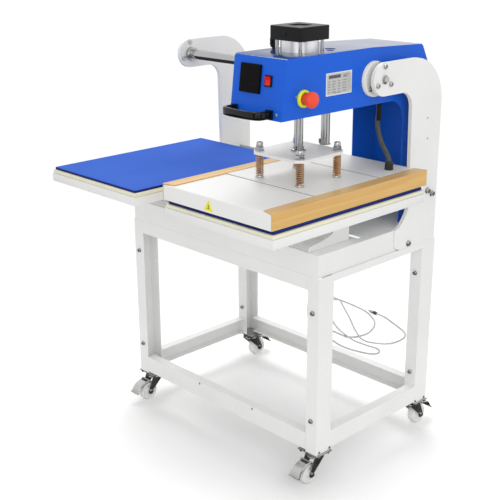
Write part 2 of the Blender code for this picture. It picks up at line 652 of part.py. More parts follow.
# ---- air hose --------------------------------------------------------------
HOSE_EXIT = (-0.070, STAND_Y + 0.0165, 0.665)
HOSE_LIFT = HOSE_R + 0.0006
HOSE_ROUTE = [
    HOSE_EXIT, (-0.0700, 0.2850, 0.6652), (-0.0702, 0.2950, 0.6650), (-0.0704, 0.3052, 0.6630),
    (-0.0707, 0.3140, 0.6573), (-0.0711, 0.3197, 0.6488), (-0.0716, 0.3219, 0.6385), (-0.0721, 0.3224, 0.6260),
    (-0.0728, 0.3227, 0.6100), (-0.0738, 0.3230, 0.5880), (-0.0755, 0.3235, 0.5550), (-0.0790, 0.3247, 0.5000),
    (-0.0850, 0.3265, 0.4300), (-0.0930, 0.3285, 0.3400), (-0.1040, 0.3320, 0.1800), (-0.1130, 0.3400, 0.0600), (-0.1400, 0.3680, 0.0120),
    (-0.1850, 0.4100, HOSE_LIFT), (-0.2600, 0.4700, HOSE_LIFT), (-0.3600, 0.5500, HOSE_LIFT),
    (-0.4900, 0.6750, HOSE_LIFT), (-0.6000, 0.8000, HOSE_LIFT), (-0.6350, 0.8600, HOSE_LIFT),
    (-0.6150, 0.8960, HOSE_LIFT), (-0.5800, 0.9000, HOSE_LIFT),
    (-0.5390, 0.8890, HOSE_LIFT), (-0.4220, 0.8790, HOSE_LIFT), (-0.3410, 0.8630, HOSE_LIFT),
    (-0.2720, 0.8270, HOSE_LIFT), (-0.2360, 0.7960, HOSE_LIFT), (-0.2090, 0.7560, HOSE_LIFT),
    (-0.1880, 0.6960, HOSE_LIFT), (-0.1920, 0.6480, HOSE_LIFT), (-0.2050, 0.6220, HOSE_LIFT),
    (-0.2250, 0.6090, HOSE_LIFT), (-0.2550, 0.6080, HOSE_LIFT), (-0.2930, 0.6125, HOSE_LIFT),
    (-0.3120, 0.6070, HOSE_LIFT), (-0.3230, 0.5945, HOSE_LIFT), (-0.3262, 0.5805, HOSE_LIFT), (-0.3225, 0.5670, HOSE_LIFT),
    (-0.3110, 0.5560, HOSE_LIFT), (-0.2900, 0.5500, HOSE_LIFT),
    (-0.2350, 0.5420, HOSE_LIFT), (-0.1900, 0.5300, HOSE_LIFT), (-0.1380, 0.5290, HOSE_LIFT),
    (-0.0960, 0.5375, HOSE_LIFT), (-0.0620, 0.5485, HOSE_LIFT), (-0.0480, 0.5600, HOSE_LIFT), (-0.0420, 0.5760, HOSE_LIFT),
    (-0.0475, 0.5920, HOSE_LIFT), (-0.0610, 0.6020, HOSE_LIFT + 0.0010), (-0.0780, 0.6020, HOSE_LIFT + 0.0020),
    (-0.1000, 0.5945, HOSE_LIFT + 0.0040), (-0.1300, 0.5870, HOSE_LIFT + 0.0070), (-0.1710, 0.5880, HOSE_LIFT + 0.0070), (-0.2180, 0.6030, HOSE_LIFT + 0.0070),
    (-0.2560, 0.6180, HOSE_LIFT + 0.0070), (-0.3130, 0.6510, HOSE_LIFT + 0.0030),
    (-0.3630, 0.6870, HOSE_LIFT), (-0.4300, 0.7420, HOSE_LIFT), (-0.5000, 0.8000, HOSE_LIFT),
    (-0.5250, 0.8330, HOSE_LIFT), (-0.5150, 0.8620, HOSE_LIFT + 0.0030),
    (-0.4880, 0.8690, HOSE_LIFT + 0.0070), (-0.4600, 0.8530, HOSE_LIFT + 0.0040),
    (-0.4120, 0.8180, HOSE_LIFT), (-0.3380, 0.7610, HOSE_LIFT), (-0.2700, 0.7020, HOSE_LIFT + 0.0040),
    (-0.2300, 0.6680, HOSE_LIFT + 0.0080), (-0.1900, 0.6350, HOSE_LIFT + 0.0130),
    (-0.1580, 0.6130, HOSE_LIFT + 0.0130), (-0.1200, 0.6050, HOSE_LIFT + 0.0130),
    (-0.0900, 0.6230, HOSE_LIFT + 0.0100), (-0.0670, 0.6600, HOSE_LIFT + 0.0030), (-0.0570, 0.7100, HOSE_LIFT),
    (-0.0600, 0.7550, HOSE_LIFT), (-0.0760, 0.7870, HOSE_LIFT), (-0.1080, 0.8120, HOSE_LIFT),
    (-0.1780, 0.8420, HOSE_LIFT + 0.0010), (-0.2360, 0.8635, HOSE_LIFT + 0.0025),
    (-0.2850, 0.8690, HOSE_LIFT + 0.0035)]


def air_hose(b):
    b.tube("air_hose", thinned(smooth(HOSE_ROUTE, 0.004), 0.050, 24), HOSE_R, GREY, 1)
    end, before = Vector(HOSE_ROUTE[-1]), Vector(HOSE_ROUTE[-2])
    along = (end - before).normalized()
    along.z = 0.0
    along.normalize()
    plug = b.lathe("hose_connector", [(0.0045, 0.0), (0.0062, 0.002), (0.0062, 0.018), (0.0050, 0.020),
                                      (0.0050, 0.034), (0.0036, 0.036), (0.0036, 0.046)], (0, 0, 0), "Z", ZINC, sides=16)
    turn = Vector((0, 0, 1)).rotation_difference(along).to_matrix().to_4x4()
    for vert in plug.data.vertices:
        vert.co = turn @ vert.co + end + along * 0.0006


def main():
    clear_scene()
    b = Build()
    stand(b)
    base(b)
    head_housing(b)
    head_fittings(b)
    cylinder(b)
    press(b)
    air_hose(b)


main()
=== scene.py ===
"""Two-station heat press on a wheeled stand: looks, fittings, studio and camera."""

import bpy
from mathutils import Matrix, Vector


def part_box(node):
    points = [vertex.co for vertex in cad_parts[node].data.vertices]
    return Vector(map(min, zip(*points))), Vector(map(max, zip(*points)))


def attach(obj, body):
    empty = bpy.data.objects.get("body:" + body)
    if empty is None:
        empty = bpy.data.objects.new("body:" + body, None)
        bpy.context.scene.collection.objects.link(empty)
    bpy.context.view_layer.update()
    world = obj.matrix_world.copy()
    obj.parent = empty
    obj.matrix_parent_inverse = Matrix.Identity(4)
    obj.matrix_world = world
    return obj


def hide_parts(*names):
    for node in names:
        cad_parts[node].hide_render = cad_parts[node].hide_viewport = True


bl_info = {
    "name": "Two-Station Heat Press",
    "version": (1, 0, 0),
    "blender": (4, 5, 0),
    "location": "View3D > Sidebar > Heat Press",
    "description": "Dresses the packed heat press frame with finishes, fittings and a studio",
    "category": "Object",
}

import math

import bmesh
import bpy
from mathutils import Matrix, Vector, noise

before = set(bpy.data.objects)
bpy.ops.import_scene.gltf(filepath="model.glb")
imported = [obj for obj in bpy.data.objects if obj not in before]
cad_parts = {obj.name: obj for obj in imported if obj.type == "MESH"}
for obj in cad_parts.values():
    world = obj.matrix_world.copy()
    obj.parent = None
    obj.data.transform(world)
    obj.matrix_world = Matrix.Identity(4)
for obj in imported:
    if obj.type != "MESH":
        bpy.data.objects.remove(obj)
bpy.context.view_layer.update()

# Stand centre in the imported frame: the design sizes below are counted from it.
MID_Y = (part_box("stand_rail_top_front")[0].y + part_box("stand_rail_top_rear")[1].y) / 2
X_AXIS, Y_AXIS, Z_AXIS = Vector((1, 0, 0)), Vector((0, 1, 0)), Vector((0, 0, 1))
BED_X, BED_Y = 0.2695, -0.2055
PAD_HALF, SHEET_HALF = (0.1980, 0.2965), (0.2025, 0.3005)
HEAD_LEFT, HEAD_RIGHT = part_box("head_housing")[0].x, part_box("head_housing")[1].x
HEAD_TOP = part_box("head_housing")[1].z
SHAFT_Y, SHAFT_Z, SHAFT_R = -0.013, 1.136, 0.015
LOWER_ROD_Y, LOWER_ROD_Z, LOWER_ROD_R = 0.207, 0.795, 0.008
TIE_ROD_OUT, CAP_HALF = 0.0416, 0.0560
LEAD_X, LEAD_Y = 0.3885, 0.0380
PLATE_INSIDE, PLATE_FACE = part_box("side_plate_right")[0].x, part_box("side_plate_right")[1].x
PLATEN_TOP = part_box("platen_cover")[1].z
FRONT_LOW, FRONT_TOP = Vector((0, -0.368, 1.0665)), Vector((0, -0.349, 1.220))
CASTER_X, CASTER_Y, TRAIL, WHEEL_R = 0.369, 0.229, 0.030, 0.031
CORNERS = ((1, 1), (-1, 1), (-1, -1), (1, -1))


def at(x, y, z):
    """A design point, counted from the stand's centre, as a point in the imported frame."""
    return Vector((x, y + MID_Y, z))


# ---- settings --------------------------------------------------------------
def colour(name, value, about):
    return bpy.props.FloatVectorProperty(name=name, description=about, default=value, subtype="COLOR",
                                         size=3, min=0.0, max=1.0)


class HeatPressColours(bpy.types.PropertyGroup):
    """Base colours of the finishes."""
    white: colour("White coat", (0.85, 0.85, 0.84), "Powder coat on stand, plates, pans and platen")
    blue: colour("Blue coat", (0.004, 0.112, 0.690), "Powder coat on the press head")
    # Painted shade: a darker, greyer copy of the blue coat for the head's upward faces.
    blue_top_painted_shade: colour("Blue coat, top", (0.020, 0.058, 0.190), "Glossy coat on the head's top sheet")
    pad: colour("Pad cloth", (0.020, 0.110, 0.560), "Woven cover on the beds")
    navy: colour("Pad edge", (0.010, 0.016, 0.160), "Bound edge of the bed covers")
    cream: colour("Silicone", (0.82, 0.80, 0.62), "Silicone foam sheet under each cover")
    ochre: colour("Laminate", (0.66, 0.355, 0.098), "Side guards of the platen")
    pale_ochre: colour("Laminate light", (0.80, 0.53, 0.19), "Lighter grain of the side guards")
    red: colour("Red plastic", (0.86, 0.075, 0.030), "Emergency button")
    rocker: colour("Rocker red", (0.74, 0.010, 0.004), "Key of the power rocker")
    lime: colour("Lime plastic", (0.76, 0.86, 0.02), "Ring behind the emergency button")
    spring: colour("Spring steel", (0.52, 0.27, 0.105), "Coils over the platen")
    hose: colour("Air hose", (0.46, 0.46, 0.47), "Air hose on the floor")


def length(name, about, value, low, high):
    """A length in metres for the panel."""
    return bpy.props.FloatProperty(name=name, description=about, default=value, min=low, max=high,
                                   unit="LENGTH")


class HeatPressSizes(bpy.types.PropertyGroup):
    """Sizes of the fittings that are drawn only in the look."""
    edge: length("Sheet edge", "Rounding of sheet metal edges", 0.0009, 0.0002, 0.002)
    coil_turns: bpy.props.FloatProperty(name="Coil turns", description="Turns in each platen spring",
                                        default=10.0, min=6.0, max=16.0, unit="NONE")
    wire: length("Spring wire", "Wire diameter of the platen springs", 0.0034, 0.002, 0.005)
    bolt: length("Stand bolt", "Head diameter of the stand's bolts", 0.0115, 0.006, 0.016)
    hose_length: length("Hose length", "Real length of the air hose", 4.06, 3.0, 5.0)
    hose_diameter: length("Hose diameter", "Outside diameter of the air hose", 0.006, 0.004, 0.010)


def colours():
    return bpy.context.scene.heat_press_colours


def sizes():
    return bpy.context.scene.heat_press_sizes


# ---- shader groups ---------------------------------------------------------
def new_group(name, inputs, outputs):
    """An empty shader group with Vector and the named float inputs, and float outputs."""
    tree = bpy.data.node_groups.new(name, "ShaderNodeTree")
    tree.interface.new_socket("Vector", in_out="INPUT", socket_type="NodeSocketVector")
    for label, value in inputs.items():
        socket = tree.interface.new_socket(label, in_out="INPUT", socket_type="NodeSocketFloat")
        socket.default_value = value
    for label in outputs:
        tree.interface.new_socket(label, in_out="OUTPUT", socket_type="NodeSocketFloat")
    return tree, tree.nodes.new("NodeGroupInput"), tree.nodes.new("NodeGroupOutput")


def node(tree, kind, links=None, **values):
    """Adds a node; links maps its inputs to sockets, values sets properties."""
    made = tree.nodes.new(kind)
    for key, value in values.items():
        setattr(made, key, value)
    for key, value in (links or {}).items():
        if hasattr(value, "node"):
            tree.links.new(value, made.inputs[key])
        else:
            made.inputs[key].default_value = value
    return made


def maths(tree, operation, first, second):
    return node(tree, "ShaderNodeMath", {0: first, 1: second}, operation=operation).outputs[0]


def vector_maths(tree, operation, first, second=(0.0, 0.0, 0.0), output="Vector"):
    return node(tree, "ShaderNodeVectorMath", {0: first, 1: second}, operation=operation).outputs[output]


def ramp(tree, value, start, stop, low=0.0, high=1.0):
    """Maps start to stop onto low to high."""
    return node(tree, "ShaderNodeMapRange", {"Value": value, "From Min": start, "From Max": stop,
                                             "To Min": low, "To Max": high}).outputs[0]


def cloud(tree, vector, scale, detail, **more):
    """Noise from 0 to 1."""
    inputs = {"Vector": vector, "Scale": scale, "Detail": detail, **more}
    return node(tree, "ShaderNodeTexNoise", inputs).outputs["Fac"]


def grain_group():
    """Fine surface grain: Height for bump, Tone for slow colour and gloss changes."""
    tree, start, end = new_group("surface_grain", {"Scale": 900.0, "Tone Scale": 7.0}, ("Height", "Tone"))
    spot = start.outputs["Vector"]
    tree.links.new(cloud(tree, spot, start.outputs["Scale"], 2.0, Roughness=0.55), end.inputs["Height"])
    tree.links.new(cloud(tree, spot, start.outputs["Tone Scale"], 5.0, Roughness=0.6), end.inputs["Tone"])
    return tree


def marks_group():
    """Sparse hairline handling marks and a thin film of dust: two masks."""
    tree, start, end = new_group("handling_marks", {"Scale": 24.0, "Amount": 0.5}, ("Marks", "Dust"))
    spot, amount = start.outputs["Vector"], start.outputs["Amount"]
    warp = vector_maths(tree, "MULTIPLY", spot, (1.0, 0.16, 1.0))
    lines = node(tree, "ShaderNodeTexVoronoi", {"Vector": warp, "Scale": start.outputs["Scale"]},
                 feature="DISTANCE_TO_EDGE")
    thin = ramp(tree, lines.outputs["Distance"], 0.0, 0.012, 1.0, 0.0)
    sparse = ramp(tree, cloud(tree, spot, 11.0, 3.0), 0.58, 0.72)
    dust = ramp(tree, cloud(tree, spot, 60.0, 8.0, Roughness=0.7), 0.5, 0.8)
    marks = maths(tree, "MULTIPLY", thin, sparse)
    tree.links.new(maths(tree, "MULTIPLY", marks, amount), end.inputs["Marks"])
    tree.links.new(maths(tree, "MULTIPLY", dust, amount), end.inputs["Dust"])
    return tree


def weave_group():
    """Plain weave: Height of the threads and Shade between them."""
    tree, start, end = new_group("cloth_weave", {"Threads": 1400.0}, ("Height", "Shade"))
    spot = start.outputs["Vector"]
    warp, weft = (node(tree, "ShaderNodeTexWave", {"Vector": spot, "Scale": start.outputs["Threads"],
                                                   "Distortion": 0.0}, bands_direction=axis).outputs["Fac"]
                  for axis in ("X", "Y"))
    high = maths(tree, "MAXIMUM", warp, weft)
    tree.links.new(maths(tree, "ADD", high, cloud(tree, spot, 160.0, 4.0)), end.inputs["Height"])
    tree.links.new(high, end.inputs["Shade"])
    return tree


def wood_group():
    """Long grain along Y: Grain mixes the two tones, Height is the pore relief."""
    tree, start, end = new_group("wood_grain", {"Scale": 30.0}, ("Grain", "Height"))
    along = vector_maths(tree, "MULTIPLY", start.outputs["Vector"], (1.0, 0.06, 1.0))
    scale = start.outputs["Scale"]
    wide = cloud(tree, along, scale, 6.0, Roughness=0.65, Distortion=0.8)
    pores = cloud(tree, vector_maths(tree, "MULTIPLY", along, (14.0, 14.0, 14.0)), scale, 2.0)
    tree.links.new(ramp(tree, wide, 0.3, 0.72), end.inputs["Grain"])
    tree.links.new(pores, end.inputs["Height"])
    return tree


def turned_group():
    """Fine machining lines across the given direction and their gloss change."""
    tree, start, end = new_group("machining_lines", {"Scale": 420.0}, ("Height", "Gloss"))
    spot = start.outputs["Vector"]
    tree.links.new(cloud(tree, spot, start.outputs["Scale"], 3.0, Roughness=0.6), end.inputs["Height"])
    tree.links.new(cloud(tree, spot, 18.0, 4.0), end.inputs["Gloss"])
    return tree


GROUP_MAKERS = {"surface_grain": grain_group, "handling_marks": marks_group, "cloth_weave": weave_group,
                "wood_grain": wood_group, "machining_lines": turned_group}


class Finish:
    """Builds one material: a Principled shader, object coordinates and shared groups."""

    def __init__(self, name, base, roughness, metallic=0.0, coat=0.0, **sockets):
        self.material = bpy.data.materials.new(name)
        self.material.use_nodes = True
        self.tree = self.material.node_tree
        self.shader = self.tree.nodes["Principled BSDF"]
        self.base, self.roughness = tuple(base), roughness
        self.shader.inputs["Base Color"].default_value = (*self.base, 1.0)
        self.shader.inputs["Roughness"].default_value = roughness
        self.shader.inputs["Metallic"].default_value = metallic
        self.shader.inputs["Coat Weight"].default_value = coat
        for label, value in sockets.items():
            self.shader.inputs[label.replace("_", " ")].default_value = value
        self.coords = node(self.tree, "ShaderNodeTexCoord").outputs["Object"]

    def stretched(self, factors):
        return vector_maths(self.tree, "MULTIPLY", self.coords, factors)

    def group(self, name, vector=None, **values):
        tree = bpy.data.node_groups.get(name) or GROUP_MAKERS[name]()
        made = node(self.tree, "ShaderNodeGroup", node_tree=tree)
        self.tree.links.new(vector or self.coords, made.inputs["Vector"])
        for label, value in values.items():
            made.inputs[label.replace("_", " ")].default_value = value
        return made.outputs

    def mix(self, factor, first, second):
        made = node(self.tree, "ShaderNodeMix", {"Factor": factor}, data_type="RGBA")
        for index, value in ((6, first), (7, second)):
            if hasattr(value, "node"):
                self.tree.links.new(value, made.inputs[index])
            else:
                made.inputs[index].default_value = (*value, 1.0)
        return made.outputs[2]

    def spread(self, value, low, high, start=0.3, stop=0.7):
        return ramp(self.tree, value, start, stop, low, high)

    def paint(self, socket):
        self.tree.links.new(socket, self.shader.inputs["Base Color"])

    def gloss(self, socket):
        self.tree.links.new(socket, self.shader.inputs["Roughness"])

    def relief(self, height, strength, distance):
        bump = node(self.tree, "ShaderNodeBump", {"Height": height, "Strength": strength, "Distance": distance})
        self.tree.links.new(bump.outputs["Normal"], self.shader.inputs["Normal"])

    def shades(self, share):
        """The base colour, a little darker and a little lighter."""
        return tuple(c * (1 - share) for c in self.base), tuple(min(1.0, c * (1 + share)) for c in self.base)

    def grained(self, share=0.05, spread=0.06, scale=900.0, tone_scale=7.0, strength=0.12, distance=0.0002):
        """Tone, gloss and fine relief together, as most moulded and coated surfaces have."""
        grain = self.group("surface_grain", Scale=scale, Tone_Scale=tone_scale)
        self.paint(self.mix(self.spread(grain["Tone"], 0.0, 1.0), *self.shades(share)))
        self.gloss(self.spread(grain["Tone"], self.roughness - spread, self.roughness + spread))
        self.relief(grain["Height"], strength, distance)
        return grain


def coated(name, base, roughness, marks, coat=0.0, shine=0.4, bounce=None):
    """Powder coat: orange-peel relief, slow tone, hairline marks and dust; bounce tones its light."""
    made = Finish(name, base, roughness, coat=coat, Coat_Roughness=0.18, Specular_IOR_Level=shine)
    grain = made.grained(0.025, 0.05, 620.0, 5.0, 0.10, 0.00018)
    worn = made.group("handling_marks", Scale=24.0, Amount=marks)
    toned = made.mix(made.spread(grain["Tone"], 0.0, 1.0), *made.shades(0.025))
    darker = tuple(c * 0.62 + 0.02 for c in made.base)
    marked = made.mix(worn["Marks"], toned, darker)
    dusty = tuple(c * 0.85 + 0.10 for c in made.base)
    painted = made.mix(worn["Dust"], marked, dusty)
    if bounce:
        path = node(made.tree, "ShaderNodeLightPath")
        painted = made.mix(path.outputs["Is Diffuse Ray"], painted, bounce)
    made.paint(painted)
    return made.material


def machined(name, base, roughness, along, scale=420.0, spread=0.05, share=0.05, metallic=1.0):
    """Bare or plated metal with fine lines; along squeezes the noise so that lines run that way."""
    made = Finish(name, base, roughness, metallic=metallic)
    lines = made.group("machining_lines", made.stretched(along), Scale=scale)
    made.paint(made.mix(made.spread(lines["Gloss"], 0.0, 1.0), *made.shades(share)))
    made.gloss(made.spread(lines["Gloss"], max(0.02, roughness - spread), roughness + spread))
    made.relief(lines["Height"], 0.10, 0.0001)
    return made.material


def plastic(name, base, roughness, coat=0.0, scale=1500.0, strength=0.15, share=0.06, shine=0.5):
    made = Finish(name, base, roughness, coat=coat, Specular_IOR_Level=shine)
    made.grained(share, 0.05, scale, 14.0, strength, 0.0001)
    return made.material


def cloth_material(name, base, threads):
    made = Finish(name, base, 0.78, Sheen_Weight=0.04, Sheen_Roughness=0.5, Specular_IOR_Level=0.15)
    weave = made.group("cloth_weave", Threads=threads)
    tone = made.group("surface_grain", Scale=300.0, Tone_Scale=3.5)
    threads_shade = made.mix(weave["Shade"], *made.shades(0.10))
    soft = tuple(c * 0.94 + 0.006 for c in made.base)
    made.paint(made.mix(made.spread(tone["Tone"], 0.0, 0.7), threads_shade, soft))
    made.gloss(made.spread(tone["Tone"], 0.72, 0.84))
    made.relief(weave["Height"], 0.25, 0.0002)
    return made.material


def laminate_material(name, base, light):
    made = Finish(name, base, 0.42, coat=0.3, Coat_Roughness=0.25)
    wood = made.group("wood_grain", Scale=30.0)
    made.paint(made.mix(made.spread(wood["Grain"], 0.0, 1.0, 0.0, 1.0), base, light))
    made.gloss(made.spread(wood["Grain"], 0.36, 0.48, 0.0, 1.0))
    made.relief(wood["Height"], 0.08, 0.0002)
    return made.material


def braid_material(name):
    """Dark braided sleeve: two crossed sets of diagonal threads."""
    made = Finish(name, (0.05, 0.05, 0.045), 0.42, metallic=0.3, Specular_IOR_Level=0.3)
    sets = []
    for slant in (1.0, -1.0):
        inputs = {"Vector": made.stretched((1.0, slant, 1.0)), "Scale": 260.0, "Distortion": 1.5,
                  "Detail": 1.0}
        sets.append(node(made.tree, "ShaderNodeTexWave", inputs, bands_direction="DIAGONAL").outputs["Fac"])
    high = maths(made.tree, "MAXIMUM", *sets)
    made.paint(made.mix(high, (0.016, 0.016, 0.014), (0.105, 0.107, 0.090)))
    made.relief(high, 0.5, 0.0006)
    return made.material


LOOKS = {}


def look(name):
    """The named finish, made when it is first asked for."""
    if name in LOOKS:
        return LOOKS[name]
    c = colours()
    even, along_x, along_z = (1.0, 1.0, 1.0), (0.05, 1.0, 1.0), (1.0, 1.0, 0.05)
    makers = {
        "white_coat": lambda: coated("white_powder_coat", c.white, 0.42, 0.10),
        "blue_coat": lambda: coated("blue_powder_coat", c.blue, 0.38, 0.05, 0.0, 0.22, (0.52, 0.53, 0.55)),
        "blue_top_painted_shade": lambda: coated("blue_coat_top_painted_shade", c.blue_top_painted_shade, 0.14, 0.08, 0.0, 0.40),
        "pad_cloth": lambda: cloth_material("blue_pad_cloth", c.pad, 1400.0),
        "pad_edge": lambda: cloth_material("navy_pad_edge", c.navy, 1100.0),
        "silicone": lambda: plastic("cream_silicone_foam", c.cream, 0.68, 0.0, 520.0, 0.35, 0.05),
        "laminate": lambda: laminate_material("ochre_laminate", c.ochre, c.pale_ochre),
        "chrome": lambda: machined("hard_chrome", (0.44, 0.44, 0.44), 0.12, even, 900.0, 0.03, 0.02),
        "barrel": lambda: machined("honed_aluminium", (0.90, 0.90, 0.90), 0.34, along_z, 300.0, 0.05, 0.03,
                                   0.72),
        "zinc": lambda: machined("zinc_plate", (0.52, 0.52, 0.51), 0.27, even, 140.0, 0.10, 0.12),
        "steel": lambda: machined("bolt_steel", (0.50, 0.50, 0.50), 0.28, even, 700.0, 0.06, 0.10),
        "dark_steel": lambda: machined("dark_bolt_steel", (0.16, 0.16, 0.17), 0.34, even, 700.0, 0.06, 0.15),
        "spring": lambda: machined("spring_steel", c.spring, 0.36, even, 500.0, 0.08, 0.18),
        "black": lambda: plastic("black_moulding", (0.008, 0.008, 0.008), 0.28, 0.0, 1500.0, 0.10, 0.06,
                                 0.16),
        "gloss_black": lambda: plastic("glossy_black_moulding", (0.005, 0.005, 0.005), 0.12, 0.0, 1500.0, 0.03, 0.06,
                                       0.26),
        "black_cap": lambda: plastic("black_anodised", (0.009, 0.009, 0.010), 0.38, 0.0, 900.0, 0.10, 0.15,
                                     0.16),
        "glass": lambda: plastic("display_glass", (0.004, 0.004, 0.0045), 0.16, 0.0, 2500.0, 0.01, 0.05,
                                 0.05),
        "red": lambda: plastic("red_moulding", c.red, 0.34, 0.0, 1500.0, 0.1, 0.06, 0.35),
        "rocker_red": lambda: plastic("rocker_red_moulding", c.rocker, 0.22, 0.0, 1500.0, 0.05, 0.06, 0.3),
        "lime": lambda: plastic("lime_moulding", c.lime, 0.38, 0.2),
        "nylon": lambda: plastic("white_nylon", (0.82, 0.82, 0.80), 0.34, 0.2, 700.0, 0.08, 0.05),
        "rubber": lambda: plastic("dark_rubber", (0.045, 0.045, 0.045), 0.6),
        "heater": lambda: plastic("heater_face", (0.060, 0.045, 0.035), 0.5, 0.0, 400.0, 0.2, 0.2),
        "plate_silver": lambda: machined("label_aluminium", (0.62, 0.62, 0.61), 0.40, along_x, 700.0, 0.04,
                                         0.05),
        "plate_white": lambda: plastic("label_border", (0.80, 0.80, 0.80), 0.45),
        "ink": lambda: plastic("label_ink", (0.09, 0.09, 0.10), 0.5),
        # Grey print on the data plate, also used as painted shade for the side plates' small holes.
        "grey_ink_and_hole_shade": lambda: plastic("grey_label_ink_and_hole_shade", (0.28, 0.28, 0.29), 0.5),
        "yellow": lambda: plastic("sticker_yellow", (0.84, 0.78, 0.015), 0.45, shine=0.2),
        "gland": lambda: plastic("gland_grey", (0.030, 0.031, 0.030), 0.42, 0.0, 900.0, 0.2, 0.15, shine=0.3),
        "braid": lambda: braid_material("braided_sleeve"),
        "hose": lambda: plastic("air_hose_pvc", c.hose, 0.35, 0.2, 800.0, 0.05, 0.05),
        # Painted shadow for the strips along the cover's centre sheet.
        "seam_painted_shadow": lambda: plastic("seam_shadow", (0.26, 0.26, 0.26), 0.8, shine=0.1),
        # Painted shade for holes.
        "painted_hole_shade": lambda: plastic("hole_shadow", (0.010, 0.010, 0.012), 0.9),
    }
    LOOKS[name] = makers[name]()
    return LOOKS[name]


# ---- mesh tools ------------------------------------------------------------
def placed(origin, direction):
    """A matrix that puts local Z along direction at origin."""
    turn = Z_AXIS.rotation_difference(Vector(direction).normalized()).to_matrix().to_4x4()
    return Matrix.Translation(origin) @ turn


class Shape:
    """A mesh in the making: closed shells added one after another, each with a material number."""

    def __init__(self):
        self.bm = bmesh.new()

    def loft(self, rings, index=0, closed=False):
        """A skin over rings of points, capped at both ends or, when closed, joined back to the first ring."""
        rows = [[self.bm.verts.new(p) for p in ring] for ring in rings]
        count = len(rows[0])
        faces = []
        for low, high in zip(rows, rows[1:] + rows[:1] if closed else rows[1:]):
            for i in range(count):
                j = (i + 1) % count
                faces.append(self.bm.faces.new((low[i], low[j], high[j], high[i])))
        if not closed:
            faces.append(self.bm.faces.new(rows[0][::-1]))
            faces.append(self.bm.faces.new(rows[-1]))
        for face in faces:
            face.material_index = index
        return self

    def turned(self, profile, origin, direction=Z_AXIS, sides=48, index=0):
        """A turned part from (radius, height) steps; a profile that ends where it starts is a ring."""
        spot = placed(origin, direction)
        rings = []
        for radius, height in profile:
            ring = []
            for i in range(sides):
                angle = 2 * math.pi * i / sides
                ring.append(spot @ Vector((radius * math.cos(angle), radius * math.sin(angle), height)))
            rings.append(ring)
        if tuple(profile[0]) == tuple(profile[-1]):
            return self.loft(rings[:-1], index, closed=True)
        return self.loft(rings, index)

    def box(self, low, high, index=0):
        sides = ((low[0], low[1]), (high[0], low[1]), (high[0], high[1]), (low[0], high[1]))
        return self.loft([[Vector((x, y, z)) for x, y in sides] for z in (low[2], high[2])], index)

    def screw(self, origin, direction, radius, height, index=0, socket=True):
        """A cap screw head with a chamfer and a hexagon socket."""
        chamfer = radius * 0.16
        if socket:
            inner = radius * 0.52
            profile = [(radius, 0.0), (radius, height - chamfer), (radius - chamfer, height), (inner, height),
                       (inner * 0.96, height * 0.45)]
        else:
            profile = [(radius, 0.0), (radius, height * 0.45), (radius * 0.86, height * 0.82),
                       (radius * 0.5, height)]
        return self.turned(profile, origin, direction, 20, index)

    def hexagon(self, origin, direction, radius, height, index=0):
        spot = placed(origin, direction)
        rings = []
        for r, h in ((radius, 0.0), (radius, height * 0.85), (radius * 0.88, height)):
            rings.append([spot @ Vector((r * math.cos(math.pi * i / 3), r * math.sin(math.pi * i / 3), h))
                          for i in range(6)])
        return self.loft(rings, index)

    def tube(self, points, radius, sides=10, index=0):
        """A round bar that follows points without twisting; radius may be one number or one per point."""
        points = [Vector(p) for p in points]
        radii = radius if isinstance(radius, (list, tuple)) else [radius] * len(points)
        across = None
        rings = []
        for i, spot in enumerate(points):
            along = (points[min(i + 1, len(points) - 1)] - points[max(i - 1, 0)]).normalized()
            if across is None:
                across = along.orthogonal().normalized()
            across = (across - along * across.dot(along)).normalized()
            other = along.cross(across)
            turns = [2 * math.pi * k / sides for k in range(sides)]
            rings.append([spot + (across * math.cos(turn) + other * math.sin(turn)) * radii[i]
                          for turn in turns])
        return self.loft(rings, index)

    def finish(self, name, body, looks, stands_for=(), bevel=0.0, segments=2, sharp=32, weld=False):
        """Makes the object: outward faces, smooth shading with sharp edges kept, an optional edge rounding."""
        if weld:
            bmesh.ops.remove_doubles(self.bm, verts=self.bm.verts[:], dist=1e-5)
        bmesh.ops.recalc_face_normals(self.bm, faces=self.bm.faces[:])
        limit = math.radians(sharp)
        for face in self.bm.faces:
            face.smooth = True
        for edge in self.bm.edges:
            edge.smooth = len(edge.link_faces) == 2 and edge.calc_face_angle(0.0) < limit
        mesh = bpy.data.meshes.new(name)
        self.bm.to_mesh(mesh)
        self.bm.free()
        obj = bpy.data.objects.new(name, mesh)
        bpy.context.scene.collection.objects.link(obj)
        for each in looks if isinstance(looks, (list, tuple)) else [looks]:
            mesh.materials.append(look(each))
        if bevel:
            round_edges(obj, bevel, segments)
        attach(obj, body)
        if stands_for:
            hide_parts(*([stands_for] if isinstance(stands_for, str) else stands_for))
        return obj


def round_edges(obj, width, segments=2, angle=32):
    """Rounds the edges that are sharper than angle."""
    step = obj.modifiers.new("rounded_edges", "BEVEL")
    step.width = width
    step.segments = segments
    step.limit_method = "ANGLE"
    step.angle_limit = math.radians(angle)
    step.harden_normals = True
    step.use_clamp_overlap = True


def refined(cad, body, looks, bevel=0.0, segments=2, name=None, painter=None):
    """A clean copy of a CAD node: flat faces joined up again, edges rounded, own finish."""
    shape = Shape()
    shape.bm.from_mesh(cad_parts[cad].data)
    bmesh.ops.remove_doubles(shape.bm, verts=shape.bm.verts[:], dist=2e-6)
    bmesh.ops.dissolve_limit(shape.bm, angle_limit=math.radians(0.4), verts=shape.bm.verts[:],
                             edges=shape.bm.edges[:])
    for face in shape.bm.faces:
        face.material_index = painter(face) if painter else 0
    return shape.finish(name or f"{cad}_sheet", body, looks, cad, bevel, segments)


def rounded_outline(half_x, half_y, corner, steps, inset=0.0):
    """Points round a rectangle about the origin, with a quarter circle at each corner."""
    found = []
    radius = max(0.0005, corner - inset)
    for number, (sx, sy) in enumerate(CORNERS):
        for i in range(steps + 1):
            angle = math.radians(90 * number + 90 * i / steps)
            found.append((sx * (half_x - corner) + radius * math.cos(angle),
                          sy * (half_y - corner) + radius * math.sin(angle)))
    return found


